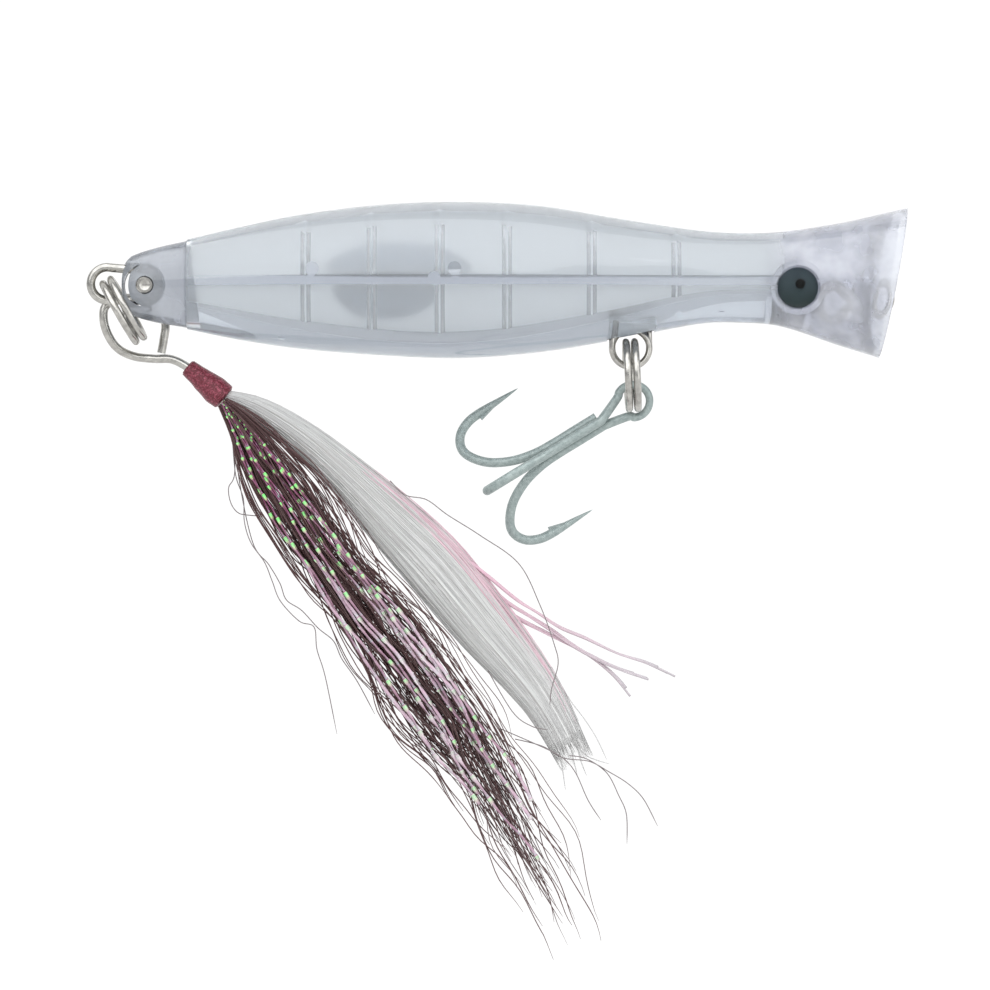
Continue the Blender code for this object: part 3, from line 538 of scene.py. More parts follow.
def disc_with_painted_top_light():
    """A dark green-grey disc that is a little lighter towards its top: painted light, as if lit from above.
    """
    mat = principled("eye_disc", (0.04, 0.055, 0.055), roughness=0.4, specular_ior_level=0.15)
    height = node(mat, "SeparateXYZ", "Z", vector=node(mat, "TexCoord", "Object"))
    low, high = (EYE_Z - EYE_RADIUS) * MM, (EYE_Z + EYE_RADIUS) * MM
    level = node(mat, "MapRange", "Result", value=height, from_min=low, from_max=high)
    # painted light: the colour turns lighter from the disc's bottom to its top
    paint(mat, ramp(mat, level, (0.0, (0.012, 0.024, 0.023)), (1.0, (0.045, 0.065, 0.08))))
    return mat


def thread():
    """Crimson thread under varnish, with paler pink glints where it lies proud; the glints are painted
    highlights, following the noise that raises the bumps.
    """
    mat = principled("tying_thread", (0.2, 0.01, 0.03), roughness=0.5, coat_weight=0.15)
    grain = bumps(mat, 2600, 0.6, 0.0001, 4)
    # the noise darkens some of the thread and paints pale pink highlights where it is high
    mottle(mat, grain, (0.12, 0.006, 0.018), (0.42, 0.09, 0.14), edges=(0.48, 0.78))
    return mat


HOOK = hook_coating()
DISC = disc_with_painted_top_light()
PUPIL = principled("eye_pupil", (0.003, 0.004, 0.004), roughness=0.2, specular_ior_level=0.1)
THREAD = thread()

WHITE = principled("white_hair", (0.6, 0.6, 0.6), roughness=0.5)
shade_colours(
    WHITE,
    (0.0, (0.46, 0.45, 0.44)),
    (0.35, (0.60, 0.60, 0.60)),
    (0.8, (0.70, 0.71, 0.70)),
    (0.9, (0.72, 0.50, 0.57)),
    (1.0, (0.76, 0.60, 0.65)),
)
BROWN = principled("brown_fibre", (0.05, 0.02, 0.02), roughness=0.45)
shade_colours(
    BROWN,
    (0.0, (0.060, 0.024, 0.024)),
    (0.5, (0.115, 0.062, 0.062)),
    (0.8, (0.16, 0.12, 0.12)),
    (1.0, (0.28, 0.26, 0.27)),
)
PINK = principled("pink_fibre", (0.8, 0.6, 0.7), roughness=0.45)
shade_colours(PINK, (0.0, (0.70, 0.44, 0.53)), (1.0, (0.50, 0.47, 0.50)))


def flash_film():
    """Pearl film: magenta with painted green glints near the thread, pale pink and grey further down."""
    mat = principled("pearl_film", (0.7, 0.4, 0.6), roughness=0.3, metallic=0.15)
    shade = attribute(mat, "shade")
    # The first stops of these colours are the painted green glints and their yellowish edges.
    bright = ramp(
        mat,
        shade,
        (0.0, (0.14, 0.70, 0.16)),
        (0.12, (0.30, 0.86, 0.26)),
        (0.20, (0.50, 0.52, 0.30)),
        (0.30, (0.26, 0.09, 0.17)),
        (0.60, (0.16, 0.03, 0.08)),
        (0.88, (0.30, 0.12, 0.22)),
        (1.0, (0.22, 0.36, 0.34)),
    )
    pale = ramp(
        mat,
        shade,
        (0.0, (0.54, 0.58, 0.53)),
        (0.2, (0.66, 0.58, 0.62)),
        (0.6, (0.60, 0.42, 0.52)),
        (1.0, (0.58, 0.56, 0.60)),
    )
    paint(mat, blend(mat, attribute(mat, "fade"), bright, pale))
    return mat


FLASH = flash_film()


# Body


def section(x, inset=0.0):
    """The body's centre height, half height and half width at x, drawn in by inset."""
    top, bottom, width = between(BODY_STATIONS, x)
    return (top + bottom) / 2, (top - bottom) / 2 - inset, width - inset


def half_ring(x, side, points=30):
    """Half of the body's outline at x, from top to bottom along one side, then up the seam."""
    middle, height, width = section(x)
    ring = []
    for i in range(points + 1):
        a = math.pi * (0.5 - i / points)
        y = max(width * math.cos(a), SEAM)
        ring.append((x, side * y, middle + height * math.sin(a)))
    return ring


def full_ring(x, inset=0.0, points=64):
    """The body's whole outline at x."""
    middle, height, width = section(x, inset)
    return [(x, width * math.cos(a), middle + height * math.sin(a)) for a in turn(points)]


def cavity_ring(x, side, rib, low, high, points=14):
    """A slice of the cavity between two heights, from the seam out to the inner wall or a rib."""
    middle, height, width = section(x, WALL)
    width -= rib
    low = max(low, middle - height * 0.95)
    high = min(high, middle + height * 0.985)
    past_seam = -side * WALL
    ring = [(x, past_seam, high)]
    for i in range(points):
        z = high + (low - high) * i / (points - 1)
        rise = (z - middle) / height
        ring.append((x, side * width * math.sqrt(1 - rise * rise), z))
    ring.append((x, past_seam, low))
    return ring


def cavity(side, upper):
    """The cavity above or below the web, drawn in where the ribs stand."""
    stops = []
    for x in spread(CAVITY_TAIL_X, CAVITY_HEAD_X, 64):
        if all(abs(x - rib) > RIB_WIDTH for rib in RIB_X):
            stops.append((x, 0.0))
    for rib in RIB_X:
        for way in (-1, 1):
            stops.append((rib + way * (RIB_WIDTH / 2 + RIB_SLOPE), 0.0))
            stops.append((rib + way * (RIB_WIDTH / 2 - RIB_SLOPE), RIB_DEPTH))
    rings = []
    for x, rib in sorted(stops):
        floor = between(FLOOR_STATIONS, x)[0]
        if upper:
            rings.append(cavity_ring(x, side, rib, WEB_TOP, 99))
        else:
            rings.append(cavity_ring(x, side, rib, min(floor, WEB_BOTTOM - 0.4), WEB_BOTTOM))
    return loft(rings, 1)


def mouth_cutters():
    """What is cut away in front of the lips, and the cup."""
    low = Vector((BOTTOM_LIP[0], 0, BOTTOM_LIP[1]))
    high = Vector((TOP_LIP[0], 0, TOP_LIP[1]))
    up = (high - low).normalized()
    out = Vector((up.z, 0, -up.x))
    middle, half = (low + high) / 2, (high - low).length / 2
    corners = [LEFT * a + up * b for a, b in ((-1, -1), (1, -1), (1, 1), (-1, 1))]
    front = loft([[middle + out * d + c * MOUTH_BLOCK for c in corners] for d in (0, MOUTH_BLOCK)])
    wide = LEFT * (section(middle.x)[2] - LIP_WALL)
    tall = up * (half - LIP_WALL)
    levels = [(CUP_REACH, 1.0)]
    for tilt in spread(0, math.radians(80), 16):
        levels.append((-CUP_DEPTH * math.sin(tilt), math.cos(tilt)))
    rings = []
    for level, grow in levels:
        centre = middle + out * level
        rings.append([centre + (wide * math.cos(a) + tall * math.sin(a)) * grow for a in turn(72)])
    return front, loft(rings)


def spigot_rings(inset, reach):
    """The tail block's spigot from the seam to its end, which slopes forward towards the keel."""
    rings = []
    for share in (0.02, 0.5, 1.0):
        middle, height, _ = section(TAIL_SEAM_X)
        ring = []
        for x, y, z in full_ring(TAIL_SEAM_X + share * reach, inset):
            ring.append((x + share * SPIGOT_SLOPE * ((middle - z) / height + 1) / 2, y, z))
        rings.append(ring)
    return rings


def wire_cutters():
    """The room for the line tie's two loops, the belly hanger's loop and legs, and the spigot."""
    tie_slot = TIE_CROSS + WIRE + GAP
    room = WIRE + 2 * GAP
    rear = across_body(TIE_REAR_X, 0, -tie_slot, tie_slot, TIE_REAR_RADIUS + room)
    front = across_body(0, 0, -tie_slot, tie_slot, EYE_LOOP_RADIUS + room)
    slot = BELLY_PITCH / 2 + BELLY_WIRE + 2 * GAP
    reach = BELLY_LOOP_RADIUS + BELLY_WIRE + GAP
    loop = across_body(BELLY_X, BELLY_Z, -slot, slot, reach)
    legs = box((BELLY_X - reach, -slot, BELLY_Z), (BELLY_X + reach, slot, BELLY_LEG_TOP + GAP))
    inset = WALL - SPIGOT_GAP
    socket = loft([full_ring(TAIL_SEAM_X - 1, inset), *spigot_rings(inset, SPIGOT_REACH + 0.1)])
    return rear, front, loop, legs, socket


def body_shell(side, name):
    xs = spread(TAIL_SEAM_X + SEAM, BODY_END_X, 96)
    ob = new_object(loft([half_ring(x, side) for x in xs]), f"body_shell_{name}_fine", (PLASTIC, PLASTIC))
    steps = [(cavity(side, upper), "DIFFERENCE") for upper in (True, False)]
    rim = across_body(EYE_X, EYE_Z, side * EYE_FOOT_Y, side * EYE_FACE_Y, EYE_RIM_RADIUS, 64)
    pocket = across_body(EYE_X, EYE_Z, side * EYE_FLOOR_Y, side * OUTSIDE, EYE_RADIUS + GAP, 64)
    steps += [(rim, "UNION"), (pocket, "DIFFERENCE")]
    for x, z, inner_end in PEGS:
        middle, height, width = section(x, WALL / 2)
        wall = width * math.sqrt(max(1 - ((z - middle) / height) ** 2, 0.05))
        boss = across_body(x, z, side * wall, side * inner_end, BOSS_RADIUS, 24)
        steps.append((boss, "UNION"))
    steps += [(bm, "DIFFERENCE") for bm in mouth_cutters()]
    steps += [(bm, "DIFFERENCE") for bm in wire_cutters()]
    carve(ob, steps)
    mesh = ob.data
    inner = [float(face.material_index) for face in mesh.polygons]
    mesh.polygons.foreach_set("material_index", [0] * len(inner))
    mesh.materials.pop(index=1)
    plastic_values(ob, inner, HEAD_CLOUD_X)
    piece(ob, "body", "clear_plastic", f"body_shell_{name}")


def plastic_values(ob, inner, cloud_from):
    """Tells the plastic which faces are inside the cavity, and from which x on it is cloudy."""
    mesh = ob.data
    mesh.attributes.new("inner", "FLOAT", "FACE").data.foreach_set("value", inner)
    clouds = [min(max((v.co.x / MM - cloud_from) / CLOUD_LENGTH, 0.0), 1.0) for v in mesh.vertices]
    mesh.attributes.new("cloud", "FLOAT", "POINT").data.foreach_set("value", clouds)


# Camera, light and floor


def add_camera():
    """A long lens straight on to the right side, as far away as the view's width needs."""
    camera = bpy.data.cameras.new("camera")
    camera.lens = 200
    camera.clip_start = 0.05
    ob = linked("camera", camera)
    distance = VIEW_WIDTH * camera.lens / camera.sensor_width
    ob.location = (VIEW_CENTRE[0], -distance, VIEW_CENTRE[1])
    ob.rotation_euler = (math.radians(90), 0, 0)
    bpy.context.scene.camera = ob


def add_light(name, place, size, power):
    light = bpy.data.lights.new(name, "AREA")
    light.size = size
    light.energy = power
    ob = linked(name, light)
    ob.location = place
    ob.rotation_euler = (Vector(LIT_AT) - ob.location).to_track_quat("-Z", "Y").to_euler()


def add_stage():
    """A white sweep: a floor below the lure that curves up into a wall behind it.

    It can't be seen from its back, so that the lure shows from behind too.
    """
    bend_y, bend_z = SWEEP_FAR - SWEEP_BEND, FLOOR_Z + SWEEP_BEND
    profile = [(SWEEP_NEAR, FLOOR_Z), (bend_y, FLOOR_Z)]
    for a in spread(0, math.pi / 2, 24)[1:]:
        profile.append((bend_y + SWEEP_BEND * math.sin(a), bend_z - SWEEP_BEND * math.cos(a)))
    profile.append((SWEEP_FAR, SWEEP_TOP))
    verts = [(x, y, z) for x in SWEEP_SIDES for y, z in profile]
    n = len(profile)
    mesh = bpy.data.meshes.new("sweep")
    mesh.from_pydata(verts, [], [(i, n + i, n + i + 1, i + 1) for i in range(n - 1)])
    mesh.shade_smooth()
    paper = principled("sweep", (0.02, 0.02, 0.02), roughness=1.0, emission_strength=1.0)
    feed(shader_of(paper).inputs["Emission Color"], (1, 1, 1))
    mix = paper.node_tree.nodes.new("ShaderNodeMixShader")
    feed(mix.inputs[0], node(paper, "NewGeometry", "Backfacing"))
    feed(mix.inputs[1], shader_of(paper).outputs["BSDF"])
    feed(mix.inputs[2], node(paper, "BsdfTransparent", "BSDF"))
    feed(paper.node_tree.nodes["Material Output"].inputs["Surface"], mix.outputs["Shader"])
    mesh.materials.append(paper)
    linked("sweep", mesh)


def add_world():
    world = bpy.data.worlds.new("studio")
    world.use_nodes = True
    back = world.node_tree.nodes["Background"]
    feed(back.inputs["Color"], (0.80, 0.81, 0.83))
    feed(back.inputs["Strength"], 0.58)
    bpy.context.scene.world = world
    bpy.context.scene.view_settings.view_transform = "Standard"


# Tail block, pin and wires


def tail_block():
    """A clear block, rounded at its tail end, with a bore for the pin and a slot for the wire."""
    length = TAIL_SEAM_X - TAIL_X
    rings = [full_ring(TAIL_X + x, inset) for x, inset in TAIL_ROUNDING]
    rings += [full_ring(TAIL_X + x, TAIL_STEP * x / length) for x in spread(TAIL_ROUNDED, length, 20)]
    rings += spigot_rings(WALL + 0.1, SPIGOT_REACH)
    ob = new_object(loft(rings), "tail_block_fine", (TAIL_PLASTIC,))
    slot_y = WIRE + GAP
    slot_z = LEG_OFFSET + WIRE + GAP
    knot_y = LEG_SHIFT + WIRE + GAP
    bore = across_body(PIN_X, PIN_Z, -9, 9, PIN_RADIUS + 0.05)
    slot = box((TAIL_X - 2, -slot_y, PIN_Z - slot_z), (PIN_X + 1, slot_y, PIN_Z + slot_z))
    knot = across_body(PIN_X, PIN_Z, -knot_y, knot_y, slot_z)
    carve(ob, [(bm, "DIFFERENCE") for bm in (bore, slot, knot)])
    plastic_values(ob, [0.0] * len(ob.data.polygons), 2 * TAIL_X)
    piece(ob, "body", "clear_plastic", "tail_block")


def cross_pin():
    """The pin's rim stands round a dimple at each end."""
    reach = section(PIN_X)[2] - 0.25
    half = [(PIN_BORE * 0.4, reach - 0.7), (PIN_BORE, reach - 0.5), (PIN_BORE, reach)]
    half += [(PIN_RADIUS - 0.2, reach), (PIN_RADIUS, reach - 0.2)]
    rows = half + [(r, -y) for r, y in reversed(half)]
    pin = revolve(rows, PIN_X, PIN_Z, "tail_cross_pin_fine", STEEL)
    piece(pin, "body", "stainless_wire", "tail_cross_pin")


def revolve(rows, x, z, name, mat, sides=64):
    """A turned piece about the Y axis through (x, z); rows are (radius, y)."""
    rings = [[on_circle(x, y, z, r, a) for a in turn(sides)] for r, y in rows]
    return new_object(loft(rings), name, (mat,))


def wire_piece(path, radius, node_name, body="body", slot="stainless_wire", closed=False):
    wire = new_object(sweep(path, radius, 20, closed), f"{node_name}_fine", (STEEL,))
    piece(wire, body, slot, node_name)


def tail_hanger():
    """A wire that goes round the pin on both sides and makes the eye behind the tail."""
    path = []
    for t in spread(0, 1, 16):
        path.append(on_circle(PIN_X, LEG_SHIFT * (t - 1), PIN_Z, LEG_OFFSET, math.radians(-50 + 140 * t)))
    for t in spread(0, 1, 28):
        path.append(on_circle(TAIL_EYE_X, 0, TAIL_EYE_Z, EYE_LOOP_RADIUS, math.radians(75 + 210 * t)))
    for t in spread(0, 1, 16):
        path.append(on_circle(PIN_X, LEG_SHIFT * t, PIN_Z, LEG_OFFSET, math.radians(270 + 140 * t)))
    wire_piece(smooth(path, 2), WIRE, "tail_hanger")


def line_tie():
    """A closed figure of eight: the eye in the mouth cup and an anchor loop in the head."""
    path = []
    crossing = TIE_REAR_X / 2
    for t in spread(-1, 1, 10):
        path.append(on_circle(0, TIE_CROSS * 0.6 * t, 0, EYE_LOOP_RADIUS, math.radians(140 * t)))
    path.append((crossing + 0.2, TIE_CROSS, 0.0))
    for t in spread(-1, 1, 10):
        a = math.radians(-180 - 140 * t)
        path.append(on_circle(TIE_REAR_X, -TIE_CROSS * 0.6 * t, 0, TIE_REAR_RADIUS, a))
    path.append((crossing + 0.2, -TIE_CROSS, 0.0))
    wire_piece(smooth(path, 5, True), WIRE, "line_tie", closed=True)


def belly_hanger():
    """One and a half turns of wire, with both ends straight up in the keel."""
    side = BELLY_PITCH / 2
    path = [(BELLY_X - 2.9, -side, BELLY_LEG_TOP), (BELLY_X - 3.1, -side, BELLY_Z + 2.6)]
    for t in spread(0, 1, 36):
        a = math.pi + 2 * math.pi * BELLY_TURNS * t
        path.append(on_circle(BELLY_X, BELLY_PITCH * (t - 0.5), BELLY_Z, BELLY_LOOP_RADIUS, a))
    path += [(BELLY_X + 3.1, side, BELLY_Z + 2.6), (BELLY_X + 2.9, side, BELLY_LEG_TOP)]
    wire_piece(smooth(path, 3), BELLY_WIRE, "belly_hanger")


def split_ring(centre, along, node_name, body):
    """Two turns of wire; along is a direction in the ring's plane, which also holds the Y axis."""
    along = Vector(along).normalized()
    across = (LEFT - along * along.dot(LEFT)).normalized()
    normal = along.cross(across)
    path = []
    half = 360 - RING_STEP
    for degrees in spread(-half, half, 180):
        a = math.radians(RING_STEP_AT + degrees)
        shift = RING_PITCH / 2 * max(-1, min(1, degrees / RING_STEP))
        outward = along * math.cos(a) + across * math.sin(a)
        path.append(Vector(centre) + outward * RING_RADIUS + normal * shift)
    wire_piece(path, RING_WIRE, node_name, body, "stainless_ring")


# Treble hook


def hook_axes():
    """The hook's direction from eye to bend, and the direction of each of its three hooks."""
    along = Vector((math.cos(HOOK_SLOPE), 0, math.sin(HOOK_SLOPE)))
    beside = Vector((math.sin(HOOK_SLOPE), 0, -math.cos(HOOK_SLOPE)))
    lift = math.sin(math.radians(120))
    return along, LEFT * 0.5 + beside * lift, LEFT * 0.5 - beside * lift, -LEFT


def hook_path(along, out, start):
    """One hook's centre line, from its place on the shank to its point."""
    flat = [(start, HOOK_STRAND), ((start + HOOK_BEND[0][0]) / 2, HOOK_STRAND), *HOOK_BEND]
    eye = Vector(HOOK_EYE)
    return [eye + along * u + out * v for u, v in smooth(flat, 8)]


def hook_radii(path):
    """Full wire, then a long needle point."""
    lengths = [0.0]
    for a, b in zip(reversed(path[1:]), reversed(path[:-1])):
        lengths.append(lengths[-1] + (a - b).length)
    return [HOOK_WIRE * min(1, 0.03 + 0.97 * (d / POINT_LENGTH) ** 0.8) for d in reversed(lengths)]


def barb(along, out):
    """A small wedge on the inner side of the point."""
    eye = Vector(HOOK_EYE)
    across = along.cross(out)
    sides = (across * -BARB_HALF, across * BARB_HALF)
    return loft([[eye + along * u + out * v + side for u, v in BARB] for side in sides])


def hook_piece(path, radii, barbs, kind):
    ob = new_object(sweep(path, radii, 24), f"treble_{kind}_fine", (HOOK,))
    carve(ob, [(bm, "UNION") for bm in barbs])
    piece(ob, "treble", "hook_coating", f"treble_{kind}_hook")


def single_hook():
    along, upper, _, _ = hook_axes()
    path = hook_path(along, upper, SINGLE_START)
    hook_piece(path, hook_radii(path), [barb(along, upper)], "single")


def double_hook():
    """Two hooks and the eye from one wire, which is slimmer round the eye."""
    along, _, lower, third = hook_axes()
    first = hook_path(along, lower, DOUBLE_START)
    second = hook_path(along, third, DOUBLE_START)
    eye = Vector(HOOK_EYE)
    beside = Vector((-along.z, 0, along.x))
    loop = []
    for degrees in spread(HOOK_EYE_OPENS, 360 - HOOK_EYE_OPENS, 12):
        a = math.radians(degrees)
        loop.append(eye + (along * math.cos(a) + beside * math.sin(a)) * HOOK_EYE_RADIUS)
    bend = [Vector(p) for p in smooth([first[0], *loop, second[0]], 6)]
    extra = HOOK_WIRE - HOOK_EYE_WIRE
    slim = [HOOK_EYE_WIRE + extra * abs(t) ** 3 for t in spread(-1, 1, len(bend) - 1)]
    path = [*reversed(first[1:]), *bend, *second[1:]]
    radii = [*reversed(hook_radii(first)[1:]), *slim, *hook_radii(second)[1:]]
    hook_piece(path, radii, [barb(along, lower), barb(along, third)], "double")


# Ballast and eyes


def half_ellipsoid(centre, semi, sign, node_name):
    """The upper half of an ellipsoid, or the lower half if sign is -1, closed by a flat face."""
    bm = bmesh.new()
    bmesh.ops.create_uvsphere(bm, u_segments=64, v_segments=40, radius=1)
    whole = [*bm.verts, *bm.edges, *bm.faces]
    result = bmesh.ops.bisect_plane(
        bm, geom=whole, plane_co=(0, 0, 0.001 * sign), plane_no=(0, 0, sign), clear_inner=True
    )
    edges = [e for e in result["geom_cut"] if isinstance(e, bmesh.types.BMEdge)]
    bmesh.ops.contextual_create(bm, geom=edges)
    for v in bm.verts:
        v.co = Vector([c + p * s for c, p, s in zip(centre, v.co, semi)])
    piece(new_object(bm, f"{node_name}_fine", (LEAD,)), "body", "lead", node_name)


def ballast():
    half_ellipsoid((-80.5, 0, WEB_TOP + 0.8), (12.4, 4.9, 4.8), 1, "ballast_upper")
    half_ellipsoid((-82.6, 0, WEB_BOTTOM - 0.45), (9.0, 4.9, 5.1), -1, "ballast_lower")


def eye(side, tag):
    """A disc at the bottom of the eye's pocket, a pupil on it and a clear dome over both."""
    back = EYE_FLOOR_Y + EYE_GAP
    face = back + DISC_THICK
    inner = EYE_RADIUS - DISC_EDGE
    rows = [(inner, back), (EYE_RADIUS, back + DISC_EDGE), (EYE_RADIUS, face - DISC_EDGE), (inner, face)]
    eye_piece("eye_disc", side, tag, rows, EYE_X, EYE_Z, DISC)
    x, z = EYE_X + PUPIL_SHIFT[0], EYE_Z + PUPIL_SHIFT[1]
    base = face + EYE_GAP
    top = base + PUPIL_THICK
    rows = [(PUPIL_RADIUS, base), (PUPIL_RADIUS, top - 0.1), (PUPIL_RADIUS - 0.15, top)]
    eye_piece("eye_pupil", side, tag, rows, x, z, PUPIL, 32)
    base += EYE_GAP
    rows = [(EYE_RADIUS, base)]
    for a in spread(0, math.radians(86), 14):
        rows.append((EYE_RADIUS * math.cos(a), base + DOME_EDGE + DOME_RISE * math.sin(a)))
    seat_top = side * (base + PUPIL_THICK + EYE_GAP)
    seat = across_body(x, z, side * (base - 1), seat_top, PUPIL_RADIUS + EYE_GAP)
    eye_piece("eye_dome", side, tag, rows, EYE_X, EYE_Z, LENS, cuts=[(seat, "DIFFERENCE")])


def eye_piece(kind, side, tag, rows, x, z, mat, sides=64, cuts=()):
    """A turned piece of one eye; rows are (radius, distance from the seam)."""
    ob = revolve([(r, side * y) for r, y in rows], x, z, f"{kind}_{tag}_fine", mat, sides)
    if cuts:
        carve(ob, cuts)
    piece(ob, "body", kind, f"{kind}_{tag}")


# Teaser


def teaser_wire():
    wire_piece(smooth(TEASER_PATH, 8), TEASER_WIRE, "teaser_wire", "teaser")


def thread_wrap():
    """Turns of thread side by side, over a core that swells towards the hair."""
    start, end = Vector(WRAP_START), Vector(WRAP_END)
    axis = (end - start).normalized()
    up = axis.cross(LEFT)
    stations = [(i / (len(WRAP_RADII) - 1), r) for i, r in enumerate(WRAP_RADII)]
    rings = []
    for t in spread(0, 1, 260):
        radius = between(stations, min(max(t, 0.001), 0.999))[0]
        fade = min(1, t / 0.03, (1 - t) / 0.03)
        ring = []
        for a in turn(40):
            ridge = abs(math.sin(math.pi * (t * WRAP_TURNS + a / (2 * math.pi))))
            r = radius * (0.82 + 0.18 * fade) + WRAP_RIDGE * ridge
            r *= 1 + 0.03 * noise.noise(Vector((t * 6, math.cos(a), math.sin(a))))
            ring.append(start.lerp(end, t) + (LEFT * math.cos(a) + up * math.sin(a)) * r)
        rings.append(ring)
    ob = new_object(loft(rings), "thread_wrap_fine", (THREAD,), 80)
    piece(ob, "teaser", "thread", "thread_wrap")


# Hair and flash


def frames_along(points):
    """Each point with two directions across the fibre, the first nearest to +Y."""
    path = [Vector(p) for p in points]
    last = len(path) - 1
    for i, p in enumerate(path):
        t = (path[min(i + 1, last)] - path[max(i - 1, 0)]).normalized()
        one = (LEFT - t * t.dot(LEFT)).normalized()
        yield p, one, t.cross(one)


def round_fibre(points, radius, sides=3):
    """Rings of a round fibre that thins out towards its tip."""
    last = len(points) - 1
    rings = []
    for i, (p, one, two) in enumerate(frames_along(points)):
        r = radius * min(1.0, 0.35 + (last - i) / 6)
        rings.append([p + (one * math.cos(a) + two * math.sin(a)) * r for a in turn(sides)])
    return rings


def flat_fibre(points, halves, twists, thin=0.03):
    """Rings of a ribbon with a half width and a twist of its own at each point."""
    rings = []
    for (p, one, two), half, twist in zip(frames_along(points), halves, twists):
        wide = (two * math.cos(twist) + one * math.sin(twist)) * half
        deep = (one * math.cos(twist) - two * math.sin(twist)) * thin
        rings.append([p - wide - deep, p + wide - deep, p + wide + deep, p - wide + deep])
    return rings


def fibre_object(parts, name, mat):
    """One mesh of fibres; each part is (rings, shades, fades), with one value for each ring."""
    verts, faces, shades, fades = [], [], [], []
    for rings, own_shades, own_fades in parts:
        sides, base = len(rings[0]), len(verts)
        for ring, shade, fade in zip(rings, own_shades, own_fades):
            verts += [p * MM for p in ring]
            shades += [shade] * sides
            fades += [fade] * sides
        for low in range(base, base + (len(rings) - 1) * sides, sides):
            for k in range(sides):
                m = (k + 1) % sides
                faces.append((low + k, low + m, low + sides + m, low + sides + k))
        faces.append([base + k for k in reversed(range(sides))])
        faces.append([len(verts) - sides + k for k in range(sides)])
    mesh = bpy.data.meshes.new(name)
    mesh.from_pydata(verts, [], faces)
    mesh.materials.append(mat)
    mesh.shade_smooth()
    mesh.attributes.new("shade", "FLOAT", "POINT").data.foreach_set("value", shades)
    mesh.attributes.new("fade", "FLOAT", "POINT").data.foreach_set("value", fades)
    return linked(name, mesh)


def stray_fibres(paths, per_span, radius, shade):
    lines = [smooth(path, per_span) for path in paths]
    return [(round_fibre(line, radius), [shade] * len(line), [0] * len(line)) for line in lines]


def bundle_point(stations, t, u, v):
    """A point in a bundle: t along it from 0 to 1, u across it and v through it from -1 to 1."""
    last = len(stations) - 1
    place = min(t, 1.0) * last
    i = min(int(place), last - 1)
    a, b, c, d = neighbours(stations, i)
    f = place - i
    x, y, z, wide, thick = (curve_value(*values, f) for values in zip(a, b, c, d))
    behind = Vector((c[0] - a[0], 0, c[2] - a[2])).normalized()
    ahead = Vector((d[0] - b[0], 0, d[2] - b[2])).normalized()
    along = behind.lerp(ahead, f).normalized()
    across = Vector((-along.z, 0, along.x))
    beyond = along * max(t - 1.0, 0) * BUNDLE_LENGTH
    return Vector((x, y, z)) + across * wide * u + LEFT * thick * v + beyond


def white_hair():
    """A dense bundle of straight fibres, pink along its upper edge."""
    rng = random.Random(3)
    fibres = []
    for _ in range(WHITE_COUNT):
        a = rng.uniform(0, 2 * math.pi)
        out = rng.uniform(0.93, 1.01)
        end = rng.uniform(0.93, 1.02) if rng.random() < 0.9 else rng.uniform(0.4, 0.9)
        phase, waves = rng.uniform(0, 2 * math.pi), rng.uniform(1, 3)
        own = rng.uniform(0.05, 0.8)
        pink_from = rng.uniform(0.30, 0.55) if math.cos(a) > 0.6 and rng.random() < 0.8 else 2
        pink_to = rng.uniform(0.62, 0.95)
        points, shades = [], []
        for t in spread(0, end, 30):
            sway = 0.03 * math.sin(phase + 2 * math.pi * waves * t)
            points.append(bundle_point(WHITE_HAIR, t, out * math.cos(a) + sway, out * math.sin(a)))
            shades.append(rng.uniform(0.88, 1.0) if pink_from < t < pink_to else own)
        fibres.append((round_fibre(points, WHITE_RADIUS), shades, shades))
    fibres += stray_fibres(PALE_STRAYS, 8, PALE_STRAY_RADIUS, 0.3)
    piece(fibre_object(fibres, "white_hair_fibres", WHITE), "teaser", "white_hair", "white_hair")


def white_core():
    """A streaked solid just under the white hair's outer fibres."""
    rings, shades = [], []
    for t in spread(0, 0.965, 110):
        size = 0.955 * min(1, (1.0 - t) / 0.05)
        ring = []
        for a in turn(120):
            streak = noise.noise(Vector((math.cos(a) * 11, math.sin(a) * 11, t * 3)))
            r = size * (1 + 0.02 * streak)
            ring.append(bundle_point(WHITE_HAIR, t, math.cos(a) * r, math.sin(a) * r))
            pink = math.cos(a) + 0.25 * streak > 0.8 and 0.4 < t + 0.1 * streak < 0.8
            shades.append(0.92 if pink else min(max(0.55 + 0.5 * streak, 0.1), 0.8))
        rings.append(ring)
    core = new_object(loft(rings), "white_hair_core", (WHITE,), 60)
    core.data.attributes.new("shade", "FLOAT", "POINT").data.foreach_set("value", shades)
    piece(core, "teaser", "white_hair")


def wave(rng, size, slow, fast):
    """A crinkle along a fibre: a slow wave and a fast one, as a function of the place along it."""
    parts = [(rng.uniform(*slow), rng.uniform(0, 2 * math.pi), size)]
    parts.append((rng.uniform(*fast), rng.uniform(0, 2 * math.pi), size * 0.35))
    return lambda t: sum(s * math.sin(phase + 2 * math.pi * pace * t) for pace, phase, s in parts)


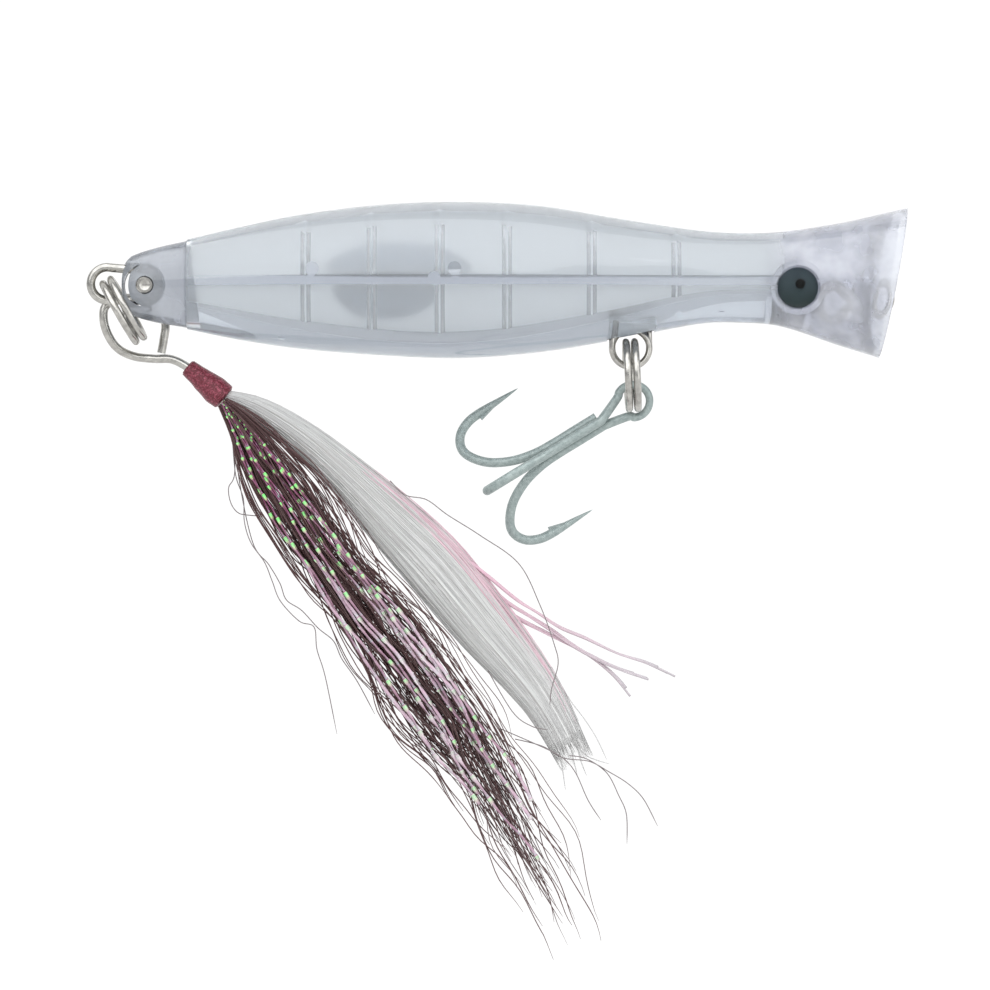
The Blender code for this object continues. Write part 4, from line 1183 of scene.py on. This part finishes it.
def dark_hair():
    """Crinkled fibres in locks that cross each other and open out towards their tips."""
    rng = random.Random(11)
    fibres = []
    for k in range(DARK_LOCKS):
        root = rng.uniform(-1, 0.25) if k % 4 else rng.uniform(0.2, 1.0)
        tip = root * 0.7 + rng.uniform(-0.55, 0.5)
        lock_wave = wave(rng, 0.15, (1.5, 3.5), (4, 7))
        depth = -1 + 0.2 * rng.random() if root > 0.35 else rng.uniform(-1, 1)
        for _ in range(rng.randint(4, 8) if root < 0.35 else rng.randint(2, 3)):
            offset, open_out = rng.gauss(0, 0.04), rng.gauss(0, 0.13)
            own_wave = wave(rng, 0.03, (2, 5), (7, 12))
            end = rng.triangular(0.48, 1.05, 0.80)
            shade = rng.uniform(0, 0.6)
            points, shades = [], []
            for t in spread(0, end, 70):
                loose = min(1.0, t * 2.5)
                u = root + (tip - root) * t + offset + open_out * t + lock_wave(t) * loose
                u += own_wave(t) * loose * (1 + 2 * t)
                points.append(bundle_point(DARK_HAIR, t, u, depth + 0.3 * lock_wave(t) + 2 * offset))
                shades.append(min(1.0, shade + 0.6 * max(0, t - 0.45)))
            fibres.append((round_fibre(points, rng.uniform(*DARK_RADII)), shades, shades))
    fibres += stray_fibres(LONG_STRAYS, 9, STRAY_RADIUS, 0.9)
    piece(fibre_object(fibres, "dark_hair_fibres", BROWN), "teaser", "dark_hair", "dark_hair")


def pearl_flash():
    """Ribbons over the dark hair, whose colours repeat with each turn of their twist; the green part of
    each turn is a painted glint.
    """
    rng = random.Random(5)
    fibres = []
    for k in range(FLASH_COUNT):
        root = -0.85 + 1.5 * k / (FLASH_COUNT - 1) + rng.uniform(-0.12, 0.12)
        tip = root + rng.uniform(-0.4, 0.3)
        sway = wave(rng, 0.07, (2, 4), (5, 8))
        depth = rng.uniform(-0.8, 0.8)
        end = rng.uniform(0.78, 1.08)
        pitch = rng.uniform(*GLINT_PITCH) / BUNDLE_LENGTH
        bright = [rng.random() < GLINT_CHANCE for _ in range(40)]
        start = rng.uniform(0, 1)
        points, shades, fades, halves, twists = [], [], [], [], []
        for t in spread(0, end, 260):
            # painted glints: the start of each turn is coloured green, unless that turn is left without a
            # glint
            part = (start + t / pitch) % 1
            if part < 0.28 and not bright[int(start + t / pitch)]:
                part = 0.7
            fade = min(max((t - 0.34) / 0.25, 0), 1) * (0.7 + 0.3 * math.sin(20 * t + 6 * start))
            u = root + (tip - root) * t + sway(t) * min(1, 3 * t)
            points.append(bundle_point(PEARL_FLASH, t, u, depth))
            shades.append(part)
            fades.append(fade)
            halves.append(0.13 + 0.17 * fade + 0.13 * (part < GLINT_SHARE))
            twists.append(0.5 * math.sin(2 * math.pi * part) + fade * 0.8 * math.sin(9 * t + 6 * start))
        fibres.append((flat_fibre(points, halves, twists), shades, fades))
    piece(fibre_object(fibres, "pearl_flash_ribbons", FLASH), "teaser", "pearl_flash", "pearl_flash")


def pink_strands():
    """Three soft strands, each of flat fibres that part towards the tip."""
    rng = random.Random(8)
    fibres = []
    for path in PINK_STRANDS:
        line = smooth(path, 12)
        for _ in range(4):
            side, phase, pace = rng.uniform(-0.2, 0.2), rng.uniform(0, 6), rng.uniform(0.1, 0.2)
            points = []
            for i, (x, y, z) in enumerate(line[: len(line) - rng.randint(0, 8)]):
                shift = side + 0.06 * math.sin(phase + pace * i)
                points.append((x + 0.6 * shift, y + 0.2 * side, z + 0.8 * shift))
            count = len(points)
            twists = [0.6 * math.sin(phase + pace * i) for i in range(count)]
            shades = [min(1, i / count + rng.uniform(-0.05, 0.05)) for i in range(count)]
            fibres.append((flat_fibre(points, [PINK_HALF_WIDTH] * count, twists), shades, shades))
    piece(fibre_object(fibres, "pink_strand_fibres", PINK), "teaser", "pink_fibre", "pink_strands")


# The lure

for side, name in ((-1, "right"), (1, "left")):
    body_shell(side, name)
tail_block()
cross_pin()
tail_hanger()
line_tie()
belly_hanger()
lean = (math.sin(BELLY_RING_LEAN), 0, -math.cos(BELLY_RING_LEAN))
split_ring(BELLY_RING, lean, "belly_split_ring", "belly_ring")
slope = (math.cos(TAIL_RING_SLOPE), 0, math.sin(TAIL_RING_SLOPE))
split_ring(TAIL_RING, slope, "tail_split_ring", "tail_ring")
single_hook()
double_hook()
ballast()
for side, name in ((-1, "right"), (1, "left")):
    eye(side, name)
teaser_wire()
thread_wrap()
white_hair()
white_core()
dark_hair()
pearl_flash()
pink_strands()

add_camera()
add_world()
add_stage()
add_light("key", (-0.4, -0.8, 1.0), 2.2, 27)
add_light("fill", (0.9, -0.8, 0.2), 1.4, 8)
